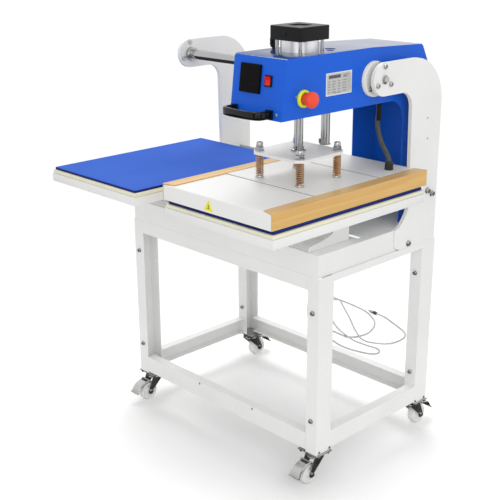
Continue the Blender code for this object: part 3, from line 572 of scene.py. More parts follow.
def smooth_line(points, step):
    """A Catmull-Rom line through points, resampled so that neighbours are step apart."""
    spots = [Vector(p) for p in points]
    padded = [2 * spots[0] - spots[1]] + spots + [2 * spots[-1] - spots[-2]]
    dense = []
    for a, b, c, d in zip(padded, padded[1:], padded[2:], padded[3:]):
        for i in range(24):
            t = i / 24
            dense.append(0.5 * (2 * b + (c - a) * t + (2 * a - 5 * b + 4 * c - d) * t * t
                                + (3 * b - a - 3 * c + d) * t ** 3))
    dense.append(spots[-1])
    lengths = [0.0]
    for a, b in zip(dense, dense[1:]):
        lengths.append(lengths[-1] + (b - a).length)
    count = max(2, round(lengths[-1] / step))
    found, k = [], 0
    for i in range(count + 1):
        want = lengths[-1] * i / count
        while k < len(lengths) - 2 and lengths[k + 1] < want:
            k += 1
        share = (want - lengths[k]) / max(1e-9, lengths[k + 1] - lengths[k])
        found.append(dense[k].lerp(dense[k + 1], min(1.0, share)))
    return found


# ---- stage -----------------------------------------------------------------
CAMERA_AZIMUTH, CAMERA_PITCH, CAMERA_ROLL = 46.026, 18.664, 0.280
CAMERA_SPOT = (2.0335, -2.0902, 1.5433)
CAMERA_LENS = 70.36
SKY_LIGHT, SKY_SEEN = 0.74, 1.02
# Dark cards seen only in reflections: name, low corner, high corner.
FLAGS = (("flag_floor", (-3.0, -3.0, 0.0005), (3.0, 3.0, 0.0005)),
         ("flag_front", (-0.10, -2.60, 0.0), (0.45, -2.60, 2.2)),
         ("flag_right", (1.90, -0.75, 0.0), (1.90, -0.25, 2.2)))
# Soft lights: name, place, aim, edge length, watts.
LIGHTS = (("key_softbox", (3.4, -1.4, 2.5), (0.0, 0.0, 0.7), 2.6, 30.0),
          ("front_softbox", (1.7, -2.9, 1.7), (0.0, 0.0, 0.8), 1.2, 7.0),
          ("top_softbox", (-1.3, 1.1, 3.6), (0.1, -0.1, 0.3), 1.8, 50.0))
# The floor's painted shadow is the patch under the stand where the floor does not glow. Beyond it the floor's glow,
# painted light, brightens it, and further out the floor thins out.
PAINTED_SHADOW_MIDDLE, PAINTED_SHADOW_HALF = (0.04, 0.02, 0.0), (0.30, 0.22, 0.0)
PAINTED_FLOOR_GLOW, GLOW_REACH, FLOOR_END, FLOOR_GONE = 0.30, 0.34, 0.55, 1.6


class HEATPRESS_OT_stage(bpy.types.Operator):
    """Adds the camera, the pale floor and the soft studio light"""
    bl_idname = "heatpress.stage"
    bl_label = "Studio, Floor and Camera"

    def execute(self, context):
        scene = context.scene
        scene.view_settings.view_transform = "Standard"
        a, e, r = (math.radians(v) for v in (CAMERA_AZIMUTH, CAMERA_PITCH, CAMERA_ROLL))
        back = Vector((math.sin(a) * math.cos(e), -math.cos(a) * math.cos(e), math.sin(e)))
        right = Vector((math.cos(a), math.sin(a), 0.0))
        up = back.cross(right)
        right, up = right * math.cos(r) - up * math.sin(r), right * math.sin(r) + up * math.cos(r)
        data = bpy.data.cameras.new("studio_camera")
        data.lens = CAMERA_LENS
        data.sensor_width = 36.0
        camera = bpy.data.objects.new("studio_camera", data)
        scene.collection.objects.link(camera)
        turn = Matrix((right, up, back)).transposed().to_4x4()
        camera.matrix_world = Matrix.Translation(at(*CAMERA_SPOT)) @ turn
        scene.camera = camera
        self.floor(scene)
        self.sky(scene)
        for name, spot, target, size, power in LIGHTS:
            self.light(scene, name, spot, target, size, power)
        for name, low, high in FLAGS:
            self.flag(scene, name, low, high)
        return {"FINISHED"}

    def floor(self, scene):
        """A pale floor that glows with painted light away from the machine, leaving a painted shadow under it, and
        thins out into the white surround well away from the machine.
        """
        mesh = bpy.data.meshes.new("studio_floor")
        half = 30.0
        mesh.from_pydata([(sx * half, sy * half, 0) for sx, sy in CORNERS], [], [(0, 1, 2, 3)])
        floor = bpy.data.objects.new("studio_floor", mesh)
        scene.collection.objects.link(floor)
        made = Finish("pale_floor", (0.93, 0.93, 0.93), 0.75, Specular_IOR_Level=0.1,
                      Emission_Color=(1, 1, 1, 1))
        made.grained(0.004, 0.03, 60.0, 1.2, 0.02, 0.0004)
        tree = made.tree
        beside = vector_maths(tree, "ABSOLUTE", vector_maths(tree, "SUBTRACT", made.coords, PAINTED_SHADOW_MIDDLE))
        outside = vector_maths(tree, "MAXIMUM", vector_maths(tree, "SUBTRACT", beside, PAINTED_SHADOW_HALF))
        reach = vector_maths(tree, "LENGTH", outside, output="Value")
        # Painted light: the floor's emission rises with the distance from the painted shadow's box.
        painted_glow = made.spread(reach, 0.0, PAINTED_FLOOR_GLOW, 0.0, GLOW_REACH)
        tree.links.new(painted_glow, made.shader.inputs["Emission Strength"])
        clear = made.spread(reach, 0.0, 1.0, FLOOR_END, FLOOR_GONE)
        thin = node(tree, "ShaderNodeBsdfTransparent").outputs[0]
        mixed = node(tree, "ShaderNodeMixShader", {0: clear, 1: made.shader.outputs[0], 2: thin}).outputs[0]
        tree.links.new(mixed, tree.nodes["Material Output"].inputs["Surface"])
        mesh.materials.append(made.material)

    def sky(self, scene):
        """White all round: full white to the camera and in reflections, softer as a source of light."""
        world = bpy.data.worlds.new("studio_sky")
        scene.world = world
        world.use_nodes = True
        tree = world.node_tree
        tree.nodes.clear()
        path = node(tree, "ShaderNodeLightPath")
        bright = maths(tree, "MAXIMUM", path.outputs["Is Camera Ray"], path.outputs["Is Glossy Ray"])
        soft = node(tree, "ShaderNodeBackground", {"Color": (1, 1, 1, 1), "Strength": SKY_LIGHT})
        seen = node(tree, "ShaderNodeBackground", {"Color": (1, 1, 1, 1), "Strength": SKY_SEEN})
        mixed = node(tree, "ShaderNodeMixShader", {0: bright, 1: soft.outputs[0], 2: seen.outputs[0]})
        node(tree, "ShaderNodeOutputWorld", {"Surface": mixed.outputs[0]})

    def flag(self, scene, name, low, high):
        """A dark card that only shows in polished metal, so that it gets its dark bands."""
        x0, y0, x1, y1 = *low[:2], *high[:2]
        mesh = bpy.data.meshes.new(name)
        if low[2] == high[2]:
            spots = [(x0, y0, low[2]), (x1, y0, low[2]), (x1, y1, low[2]), (x0, y1, low[2])]
        else:
            spots = [(x0, y0, low[2]), (x1, y1, low[2]), (x1, y1, high[2]), (x0, y0, high[2])]
        mesh.from_pydata([at(*p) for p in spots], [], [(0, 1, 2, 3)])
        made = Finish(f"{name}_cloth", (0.05, 0.05, 0.05), 0.9, Specular_IOR_Level=0.0)
        made.grained(0.1, 0.05)
        mesh.materials.append(made.material)
        card = bpy.data.objects.new(name, mesh)
        scene.collection.objects.link(card)
        card.visible_camera = card.visible_diffuse = card.visible_shadow = card.visible_transmission = False

    def light(self, scene, name, spot, target, size, power):
        data = bpy.data.lights.new(name, "AREA")
        data.shape = "SQUARE"
        data.size = size
        data.energy = power
        lamp = bpy.data.objects.new(name, data)
        scene.collection.objects.link(lamp)
        lamp.location = at(*spot)
        lamp.rotation_mode = "QUATERNION"
        lamp.rotation_quaternion = (at(*target) - at(*spot)).to_track_quat("-Z", "Y")


# ---- air hose --------------------------------------------------------------
# Height of the hose's middle where it lies on the floor; higher where it crosses itself.
LIFT = 0.0036
HOSE_ROUTE = [
    (-0.0700, 0.2755, 0.6650), (-0.0700, 0.2850, 0.6652), (-0.0702, 0.2950, 0.6650), (-0.0704, 0.3052, 0.6630),
    (-0.0707, 0.3140, 0.6573), (-0.0711, 0.3197, 0.6488), (-0.0716, 0.3219, 0.6385), (-0.0721, 0.3224, 0.6260),
    (-0.0728, 0.3227, 0.6100), (-0.0738, 0.3230, 0.5880), (-0.0755, 0.3235, 0.5550), (-0.0790, 0.3247, 0.5000),
    (-0.0850, 0.3265, 0.4300), (-0.0930, 0.3285, 0.3400), (-0.1040, 0.3320, 0.1800), (-0.1130, 0.3400, 0.0600),
    (-0.1400, 0.3680, 0.0120),
    (-0.1850, 0.4100, LIFT), (-0.2600, 0.4700, LIFT), (-0.3600, 0.5500, LIFT),
    (-0.4900, 0.6750, LIFT), (-0.6000, 0.8000, LIFT), (-0.6350, 0.8600, LIFT),
    (-0.6150, 0.8960, LIFT), (-0.5800, 0.9000, LIFT),
    (-0.5390, 0.8890, LIFT), (-0.4220, 0.8790, LIFT), (-0.3410, 0.8630, LIFT),
    (-0.2720, 0.8270, LIFT), (-0.2360, 0.7960, LIFT), (-0.2090, 0.7560, LIFT),
    (-0.1880, 0.6960, LIFT), (-0.1920, 0.6480, LIFT), (-0.2050, 0.6220, LIFT),
    (-0.2250, 0.6090, LIFT), (-0.2550, 0.6080, LIFT), (-0.2930, 0.6125, LIFT), (-0.3120, 0.6070, LIFT),
    (-0.3230, 0.5945, LIFT), (-0.3262, 0.5805, LIFT), (-0.3225, 0.5670, LIFT),
    (-0.3110, 0.5560, LIFT), (-0.2900, 0.5500, LIFT),
    (-0.2350, 0.5420, LIFT), (-0.1900, 0.5300, LIFT), (-0.1380, 0.5290, LIFT),
    (-0.0960, 0.5375, LIFT), (-0.0620, 0.5485, LIFT), (-0.0480, 0.5600, LIFT), (-0.0420, 0.5760, LIFT),
    (-0.0475, 0.5920, LIFT), (-0.0610, 0.6020, LIFT + 0.0010), (-0.0780, 0.6020, LIFT + 0.0020),
    (-0.1000, 0.5945, LIFT + 0.0040), (-0.1300, 0.5870, LIFT + 0.0070), (-0.1710, 0.5880, LIFT + 0.0070),
    (-0.2180, 0.6030, LIFT + 0.0070),
    (-0.2560, 0.6180, LIFT + 0.0070), (-0.3130, 0.6510, LIFT + 0.0030),
    (-0.3630, 0.6870, LIFT), (-0.4300, 0.7420, LIFT), (-0.5000, 0.8000, LIFT),
    (-0.5250, 0.8330, LIFT), (-0.5150, 0.8620, LIFT + 0.0030),
    (-0.4880, 0.8690, LIFT + 0.0070), (-0.4600, 0.8530, LIFT + 0.0040),
    (-0.4120, 0.8180, LIFT), (-0.3380, 0.7610, LIFT), (-0.2700, 0.7020, LIFT + 0.0040),
    (-0.2300, 0.6680, LIFT + 0.0080), (-0.1900, 0.6350, LIFT + 0.0130),
    (-0.1580, 0.6130, LIFT + 0.0130), (-0.1200, 0.6050, LIFT + 0.0130),
    (-0.0900, 0.6230, LIFT + 0.0100), (-0.0670, 0.6600, LIFT + 0.0030), (-0.0570, 0.7100, LIFT),
    (-0.0600, 0.7550, LIFT), (-0.0760, 0.7870, LIFT), (-0.1080, 0.8120, LIFT),
    (-0.1780, 0.8420, LIFT + 0.0010), (-0.2360, 0.8635, LIFT + 0.0025),
    (-0.2850, 0.8690, LIFT + 0.0035)]


class HEATPRESS_OT_hose(bpy.types.Operator):
    """Lays the air hose on the floor and adds its quick connector"""
    bl_idname = "heatpress.hose"
    bl_label = "Air Hose"

    def execute(self, context):
        route = [at(*p) for p in HOSE_ROUTE]
        data = bpy.data.curves.new("air_hose_line", "CURVE")
        data.dimensions = "3D"
        data.bevel_depth = sizes().hose_diameter / 2
        data.bevel_resolution = 3
        data.use_fill_caps = True
        points = smooth_line(route, 0.009)
        line = data.splines.new("POLY")
        line.points.add(len(points) - 1)
        for target, spot in zip(line.points, points):
            target.co = (*spot, 1.0)
        data.materials.append(look("hose"))
        hose = bpy.data.objects.new("air_hose_line", data)
        context.scene.collection.objects.link(hose)
        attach(hose, "base")
        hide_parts("air_hose")
        end = route[-1]
        along = route[-1] - route[-2]
        along.z = 0.0
        along.normalize()
        plug = Shape()
        start = end + along * 0.0004
        plug.turned([(0.0042, 0.0), (0.0060, 0.0015), (0.0062, 0.0035), (0.0062, 0.0170), (0.0054, 0.0185)],
                    start,
                    along, 24, 1)
        for i in range(5):
            rib = 0.004 + i * 0.0026
            plug.turned([(0.0064, rib), (0.0066, rib + 0.0006), (0.0066, rib + 0.0014), (0.0064, rib + 0.0020)],
                        start, along, 24, 1)
        plug.turned([(0.0050, 0.0182), (0.0050, 0.0330), (0.0044, 0.0345), (0.0036, 0.0350), (0.0036, 0.0455),
                     (0.0030, 0.0462)], start, along, 24, 0)
        connector = plug.finish("hose_quick_connector", "base", ["zinc", "rubber"], "hose_connector")
        return {"FINISHED"}


# ---- stand -----------------------------------------------------------------
class HEATPRESS_OT_stand(bpy.types.Operator):
    """Dresses the stand's side frames and rails and adds their bolts"""
    bl_idname = "heatpress.stand"
    bl_label = "Stand"

    def execute(self, context):
        edge = sizes().edge
        for side in ("left", "right"):
            refined(f"stand_side_frame_{side}", "base", "white_coat", edge)
        for end in ("front", "rear"):
            for level in ("top", "bottom"):
                refined(f"stand_rail_{level}_{end}", "base", "white_coat", edge)
        bolts = Shape()
        radius = sizes().bolt / 2
        for x in (-0.380, 0.380):
            for z in (0.200, 0.529):
                for y in (-0.259, 0.1990):
                    origin = at(x, y, z)
                    bolts.turned([(radius * 1.25, 0.0), (radius * 1.25, 0.0012), (radius * 1.1, 0.0016)], origin,
                                 -Y_AXIS, 24)
                    bolts.screw(origin - Y_AXIS * 0.0014, -Y_AXIS, radius, 0.0050)
        # Two dark discs on the front rail: painted shade standing for holes.
        for x in (-0.0975, 0.141):
            bolts.turned([(0.0030, 0.0), (0.0030, 0.0004)], at(x, -0.259, 0.1490), -Y_AXIS, 16, 1)
        for y in (-0.247, 0.247, -0.203, 0.203):
            bolts.screw(at(0.402, y, 0.1030), X_AXIS, 0.0040, 0.0022, 0, False)
        bolts.finish("stand_bolts", "base", ["steel", "painted_hole_shade"])
        return {"FINISHED"}


class HEATPRESS_OT_casters(bpy.types.Operator):
    """Dresses the four braked swivel casters"""
    bl_idname = "heatpress.casters"
    bl_label = "Casters"

    def execute(self, context):
        for end, way in (("front", -1), ("rear", 1)):
            for side, sign in (("left", -1), ("right", 1)):
                self.caster(f"{end}_{side}", sign * CASTER_X, way * CASTER_Y, way)
        return {"FINISHED"}

    def caster(self, tag, x, y, way):
        refined(f"caster_plate_{tag}", "base", "zinc", 0.0008)
        nuts = Shape()
        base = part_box(f"caster_plate_{tag}")[1].z - 0.003
        for dx in (-0.031, 0.031):
            for dy in (-0.024, 0.024):
                spot = at(x + dx, y + dy, base)
                nuts.hexagon(spot, -Z_AXIS, 0.0058, 0.0042)
                nuts.turned([(0.0028, 0.004), (0.0028, 0.0085), (0.0022, 0.009)], spot, -Z_AXIS, 12)
        nuts.finish(f"caster_nuts_{tag}", "base", "steel")
        refined(f"caster_fork_{tag}", f"swivel_{tag}", "zinc", 0.0006)
        axle = at(x, y + way * TRAIL, WHEEL_R)
        extra = Shape()
        for sign in (-1, 1):
            extra.hexagon(axle + X_AXIS * sign * 0.0196, X_AXIS * sign, 0.0068, 0.0042)
        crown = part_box(f"caster_fork_{tag}")[1].z
        extra.turned([(0.0232, -0.0035), (0.0240, -0.0060), (0.0215, -0.0095), (0.0150, -0.0095), (0.0150, -0.0035),
                      (0.0232, -0.0035)], at(x, y, crown), Z_AXIS, 36)
        extra.finish(f"caster_fork_fittings_{tag}", f"swivel_{tag}", "steel")
        self.wheel(tag, axle)
        self.pedal(tag, x, y, way)

    def wheel(self, tag, axle):
        """A one-piece nylon wheel: half its outline, from tread to bore, mirrored to the other side."""
        r, half = WHEEL_R, 0.013
        wheel = Shape()
        side = [(r, half - 0.0070), (r - 0.0006, half - 0.0034), (r - 0.0022, half - 0.0008), (r - 0.0050, half),
                (r - 0.0070, half - 0.0006), (r - 0.0085, half - 0.0030), (r - 0.0092, half - 0.0040),
                (0.0125, half - 0.0050), (0.0112, half - 0.0035), (0.0112, 0.0150), (0.0104, 0.0157),
                (0.0043, 0.0157)]
        wheel.turned(side + [(radius, -wide) for radius, wide in reversed(side)] + side[:1], axle, X_AXIS, 64)
        for sign in (-1, 1):
            wheel.turned([(0.0080, 0.0156), (0.0080, 0.0162), (0.0050, 0.0164), (0.0050, 0.0150), (0.0080, 0.0150),
                          (0.0080, 0.0156)], axle, X_AXIS * sign, 32, 1)
        wheel.finish(f"caster_roller_{tag}", f"wheel_{tag}", ["nylon", "steel"],
                     f"caster_wheel_{tag}")

    def pedal(self, tag, x, y, way):
        """A pressed lever, dished along its length, with a rolled lip and a dark rubber pad."""
        line = [(0.030, 0.0708), (0.034, 0.0725), (0.040, 0.0728), (0.050, 0.0705), (0.060, 0.0672),
                (0.0700, 0.0618), (0.0765, 0.0560), (0.0800, 0.0500), (0.0830, 0.0430), (0.0850, 0.0382)]
        rings = []
        for i, (out, up) in enumerate(line):
            share = i / (len(line) - 1)
            half = 0.0180 + 0.0022 * max(0.0, share - 0.7) / 0.3 - 0.0030 * max(0.0, 0.4 - share)
            before, after = line[max(0, i - 1)], line[min(len(line) - 1, i + 1)]
            along = Vector((after[0] - before[0], after[1] - before[1])).normalized()
            normal = Vector((-along.y, along.x))
            ring = []
            across = [(-half, -0.0040), (-half * 0.86, 0.0), (half * 0.86, 0.0), (half, -0.0040),
                      (half - 0.0016, -0.0044), (half * 0.80, -0.0016), (-half * 0.80, -0.0016),
                      (-half + 0.0016, -0.0044)]
            for wide, high in across:
                spot = Vector((out, up)) + normal * high
                ring.append(at(x + wide, y + way * spot.x, spot.y))
            rings.append(ring)
        lever = Shape()
        lever.loft(rings)
        lever.turned([(0.0032, -0.0205), (0.0032, 0.0205)], at(x, y + way * 0.034, 0.0705), X_AXIS, 16)
        tip_out, tip_up = line[-1]
        lever.tube([at(x - 0.0200, y + way * (tip_out + 0.0004), tip_up + 0.0006),
                    at(x, y + way * (tip_out + 0.0008), tip_up),
                    at(x + 0.0200, y + way * (tip_out + 0.0004), tip_up + 0.0006)], 0.0022, 12, 0)
        grip = y + way * 0.0430
        lever.box(at(x - 0.0120, grip - 0.0035, 0.0715), at(x + 0.0120, grip + 0.0035, 0.0745), 1)
        lever.finish(f"caster_pedal_{tag}", f"brake_{tag}", ["zinc", "rubber"], f"caster_brake_{tag}",
                     0.0004, 2, 40)


# ---- base ------------------------------------------------------------------
class HEATPRESS_OT_base(bpy.types.Operator):
    """Dresses the tray, the tall side plates, the shafts and the bed brackets"""
    bl_idname = "heatpress.base"
    bl_label = "Base and Side Plates"

    def execute(self, context):
        edge = sizes().edge
        refined("base_tray", "base", "white_coat", edge)
        for side in ("left", "right"):
            refined(f"side_plate_{side}", "base", "white_coat", 0.0)
            refined(f"bed_post_{side}", "base", "white_coat", edge)
        self.shafts()
        self.bolts()
        return {"FINISHED"}

    def shafts(self):
        low, high = (box.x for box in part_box("main_shaft"))
        centre = at(0, SHAFT_Y, SHAFT_Z)
        shaft = Shape()
        shaft.turned([(SHAFT_R, low), (SHAFT_R, high)], centre, X_AXIS, 64)
        for start, way in ((low, 1), (high, -1)):
            shaft.turned([(0.0205, start), (0.0210, start + way * 0.0010), (0.0210, start + way * 0.0136),
                          (0.0200, start + way * 0.0147)], centre, X_AXIS, 64)
        shaft.finish("cross_shaft", "base", "chrome", "main_shaft")
        low, high = (box.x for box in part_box("lower_guide_rod"))
        rod = Shape()
        end_r = LOWER_ROD_R - 0.0006
        rod.turned([(end_r, low), (LOWER_ROD_R, low + 0.001), (LOWER_ROD_R, high - 0.001), (end_r, high)],
                   at(0, LOWER_ROD_Y, LOWER_ROD_Z), X_AXIS, 40)
        rod.finish("rear_guide_rod", "base", "chrome", "lower_guide_rod")

    def bolts(self):
        """Shaft end bolts, the lower rod's bolts, the foot bolts and two small holes on each plate, drawn as grey
        discs of painted shade.
        """
        bolts = Shape()
        for sign in (-1, 1):
            out = X_AXIS * sign
            face = sign * PLATE_FACE
            for y, z in ((-0.015, SHAFT_Z + 0.037), (-0.043, SHAFT_Z - 0.012), (0.012, SHAFT_Z - 0.013)):
                bolts.screw(at(face, y, z), out, 0.0068, 0.0060)
                bolts.hexagon(at(sign * PLATE_INSIDE, y, z), -out, 0.0072, 0.0058)
            centre = at(face, SHAFT_Y, SHAFT_Z + 0.002)
            bolts.turned([(0.0125, 0.0), (0.0125, 0.0018), (0.0115, 0.0022)], centre, out, 32)
            bolts.hexagon(centre + out * 0.0020, out, 0.0098, 0.0065)
            for y, z in ((0.204, 0.791), (0.227, 0.778)):
                spot = at(face, y, z)
                bolts.turned([(0.0092, 0.0), (0.0092, 0.0016), (0.0084, 0.0020)], spot, out, 28)
                bolts.screw(spot + out * 0.0018, out, 0.0070, 0.0075)
            spot = at(face, 0.125, 0.646)
            bolts.turned([(0.0094, 0.0), (0.0094, 0.0014), (0.0086, 0.0018)], spot, out, 28)
            bolts.screw(spot + out * 0.0016, out, 0.0070, 0.0050)
            # Two grey discs on each plate: painted shade standing for small holes, in the same grey as the label's
            # print.
            for y, z in ((0.189, 1.007), (0.193, 0.947)):
                bolts.turned([(0.0027, 0.0), (0.0027, 0.0003)], at(face, y, z), out, 20, 1)
        bolts.finish("side_plate_bolts", "base", ["steel", "grey_ink_and_hole_shade"])


# ---- beds ------------------------------------------------------------------
def rounded_sheet(shape, centre, half, low, high, corner, edge, side_index=0, relief=0.0, seed=0.0):
    """A soft-edged sheet with rounded corners and an optional slightly uneven top."""
    across, along = 36, 54
    half_x, half_y = half
    steps = [(edge, low), (edge * 0.3, low + edge * 0.3), (0.0, low + edge), (0.0, high - edge),
             (edge * 0.3, high - edge * 0.3), (edge, high)]
    shape.loft([[Vector((centre.x + x, centre.y + y, z)) for x, y in rounded_outline(*half, corner, 4, inset)]
                for inset, z in steps])
    for face in shape.bm.faces:
        middle = face.calc_center_median().z
        face.material_index = side_index if low + 1e-5 < middle < high - edge * 0.3 else 0
    if relief:
        spans = ((X_AXIS, centre.x, half_x, across), (Y_AXIS, centre.y, half_y, along))
        for direction, middle, reach, count in spans:
            for i in range(1, count):
                level = middle - reach + 2 * reach / count * i
                faces = [f for f in shape.bm.faces if f.calc_center_median().z > high - edge * 0.2]
                edges = {e for f in faces for e in f.edges}
                verts = {v for f in faces for v in f.verts}
                bmesh.ops.bisect_plane(shape.bm, geom=faces + list(edges) + list(verts),
                                       plane_co=direction * level, plane_no=direction)
        for vert in shape.bm.verts:
            if vert.co.z > high - edge * 0.2:
                inside = min(half_x - abs(vert.co.x - centre.x), half_y - abs(vert.co.y - centre.y))
                fade = max(0.0, min(1.0, (inside - 0.004) / 0.03))
                wave = noise.noise(Vector((vert.co.x * 9, vert.co.y * 6, seed)))
                vert.co.z -= relief * fade * (0.5 + 0.5 * wave)


class HEATPRESS_OT_beds(bpy.types.Operator):
    """Makes the two padded beds: pan, silicone sheet and stretched cover"""
    bl_idname = "heatpress.beds"
    bl_label = "Padded Beds"

    def execute(self, context):
        for side, sign in (("left", -1), ("right", 1)):
            centre = at(sign * BED_X, BED_Y, 0)
            refined(f"bed_pan_{side}", "base", "white_coat", 0.0)
            low, high = (c.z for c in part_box(f"silicone_pad_{side}"))
            foam = Shape()
            rounded_sheet(foam, centre, SHEET_HALF, low, high, 0.0045, 0.0022)
            made = foam.finish(f"silicone_sheet_{side}", "base", "silicone",
                               f"silicone_pad_{side}")
            low, high = (c.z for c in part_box(f"pad_cover_{side}"))
            cover = Shape()
            rounded_sheet(cover, centre, PAD_HALF, low, high, 0.0060, 0.0024, 1, 0.0007, 3.1 * sign)
            made = cover.finish(f"bed_cover_{side}", "base", ["pad_cloth", "pad_edge"],
                                f"pad_cover_{side}", sharp=60)
        return {"FINISHED"}


# ---- head ------------------------------------------------------------------
RISE = (FRONT_TOP - FRONT_LOW).normalized()
OUTWARD = Vector((0, -RISE.z, RISE.y))


def on_front(x, up, out=0.0):
    """A point on the sloping front of the head."""
    return at(x, FRONT_LOW.y, FRONT_LOW.z) + RISE * up + OUTWARD * out


def front_panel(shape, x0, x1, up0, up1, out0, out1, corner=0.0, index=0, taper=0.0):
    """A block on the sloping front with optional rounded corners; taper narrows its outer face."""
    middle_x, middle_up = (x0 + x1) / 2, (up0 + up1) / 2
    rings = []
    for out, shrink in ((out0, 0.0), (out1, taper)):
        half_x, half_up = (x1 - x0) / 2 - shrink, (up1 - up0) / 2 - shrink
        if corner:
            outline = rounded_outline(half_x, half_up, corner, 3)
        else:
            outline = [(sx * half_x, sy * half_up) for sx, sy in CORNERS]
        rings.append([on_front(middle_x + x, middle_up + up, out) for x, up in outline])
    return shape.loft(rings, index)


class HEATPRESS_OT_head(bpy.types.Operator):
    """Dresses the head's sheet housing and its shaft bearings"""
    bl_idname = "heatpress.head"
    bl_label = "Press Head"

    def execute(self, context):
        # Upward faces at the top of the head take the darker blue: painted shade on the top.
        def top_painted_shade(face):
            return 1 if face.normal.z > 0.9 and face.calc_center_median().z > HEAD_TOP - 0.012 else 0

        refined("head_housing", "head", ["blue_coat", "blue_top_painted_shade"], 0.0008, painter=top_painted_shade)
        for side, face, sign in (("left", HEAD_LEFT, -1), ("right", HEAD_RIGHT, 1)):
            out = X_AXIS * sign
            centre = at(face, SHAFT_Y, SHAFT_Z)
            disc = Shape()
            disc.turned([(0.0155, 0.0003), (0.0480, 0.0003), (0.0480, 0.0090), (0.0474, 0.0104), (0.0460, 0.0113),
                         (0.0225, 0.0116), (0.0215, 0.0108), (0.0180, 0.0108), (0.0155, 0.0100), (0.0155, 0.0003)],
                        centre, out, 72)
            disc.finish(f"bearing_flange_{side}", "head", "white_coat",
                        f"shaft_bearing_{side}")
        bolts = Shape()
        for face, sign in ((HEAD_LEFT, -1), (HEAD_RIGHT, 1)):
            for dy, dz in ((0.0115, 0.0390), (-0.0260, -0.0250), (0.0300, -0.0200)):
                spot = at(face + sign * 0.0112, SHAFT_Y + dy, SHAFT_Z + dz)
                bolts.screw(spot, X_AXIS * sign, 0.0066, 0.0058)
        bolts.screw(at(HEAD_RIGHT, -0.3150, 1.1240), X_AXIS, 0.0030, 0.0018, 0, False)
        bolts.screw(on_front(0.3440, 0.0150), OUTWARD, 0.0050, 0.0030, 0, False)
        # Dark plugs sunk under the top sheet: painted shade inside its two holes.
        for x, y, radius in ((0.302, -0.122, 0.0155), (0.325, -0.148, 0.0105)):
            bolts.turned([(radius - 0.0005, -0.0060), (radius - 0.0005, -0.0012)], at(x, y, HEAD_TOP), Z_AXIS,
                         32, 1)
        bolts.finish("head_bolts", "head", ["steel", "painted_hole_shade"])
        return {"FINISHED"}


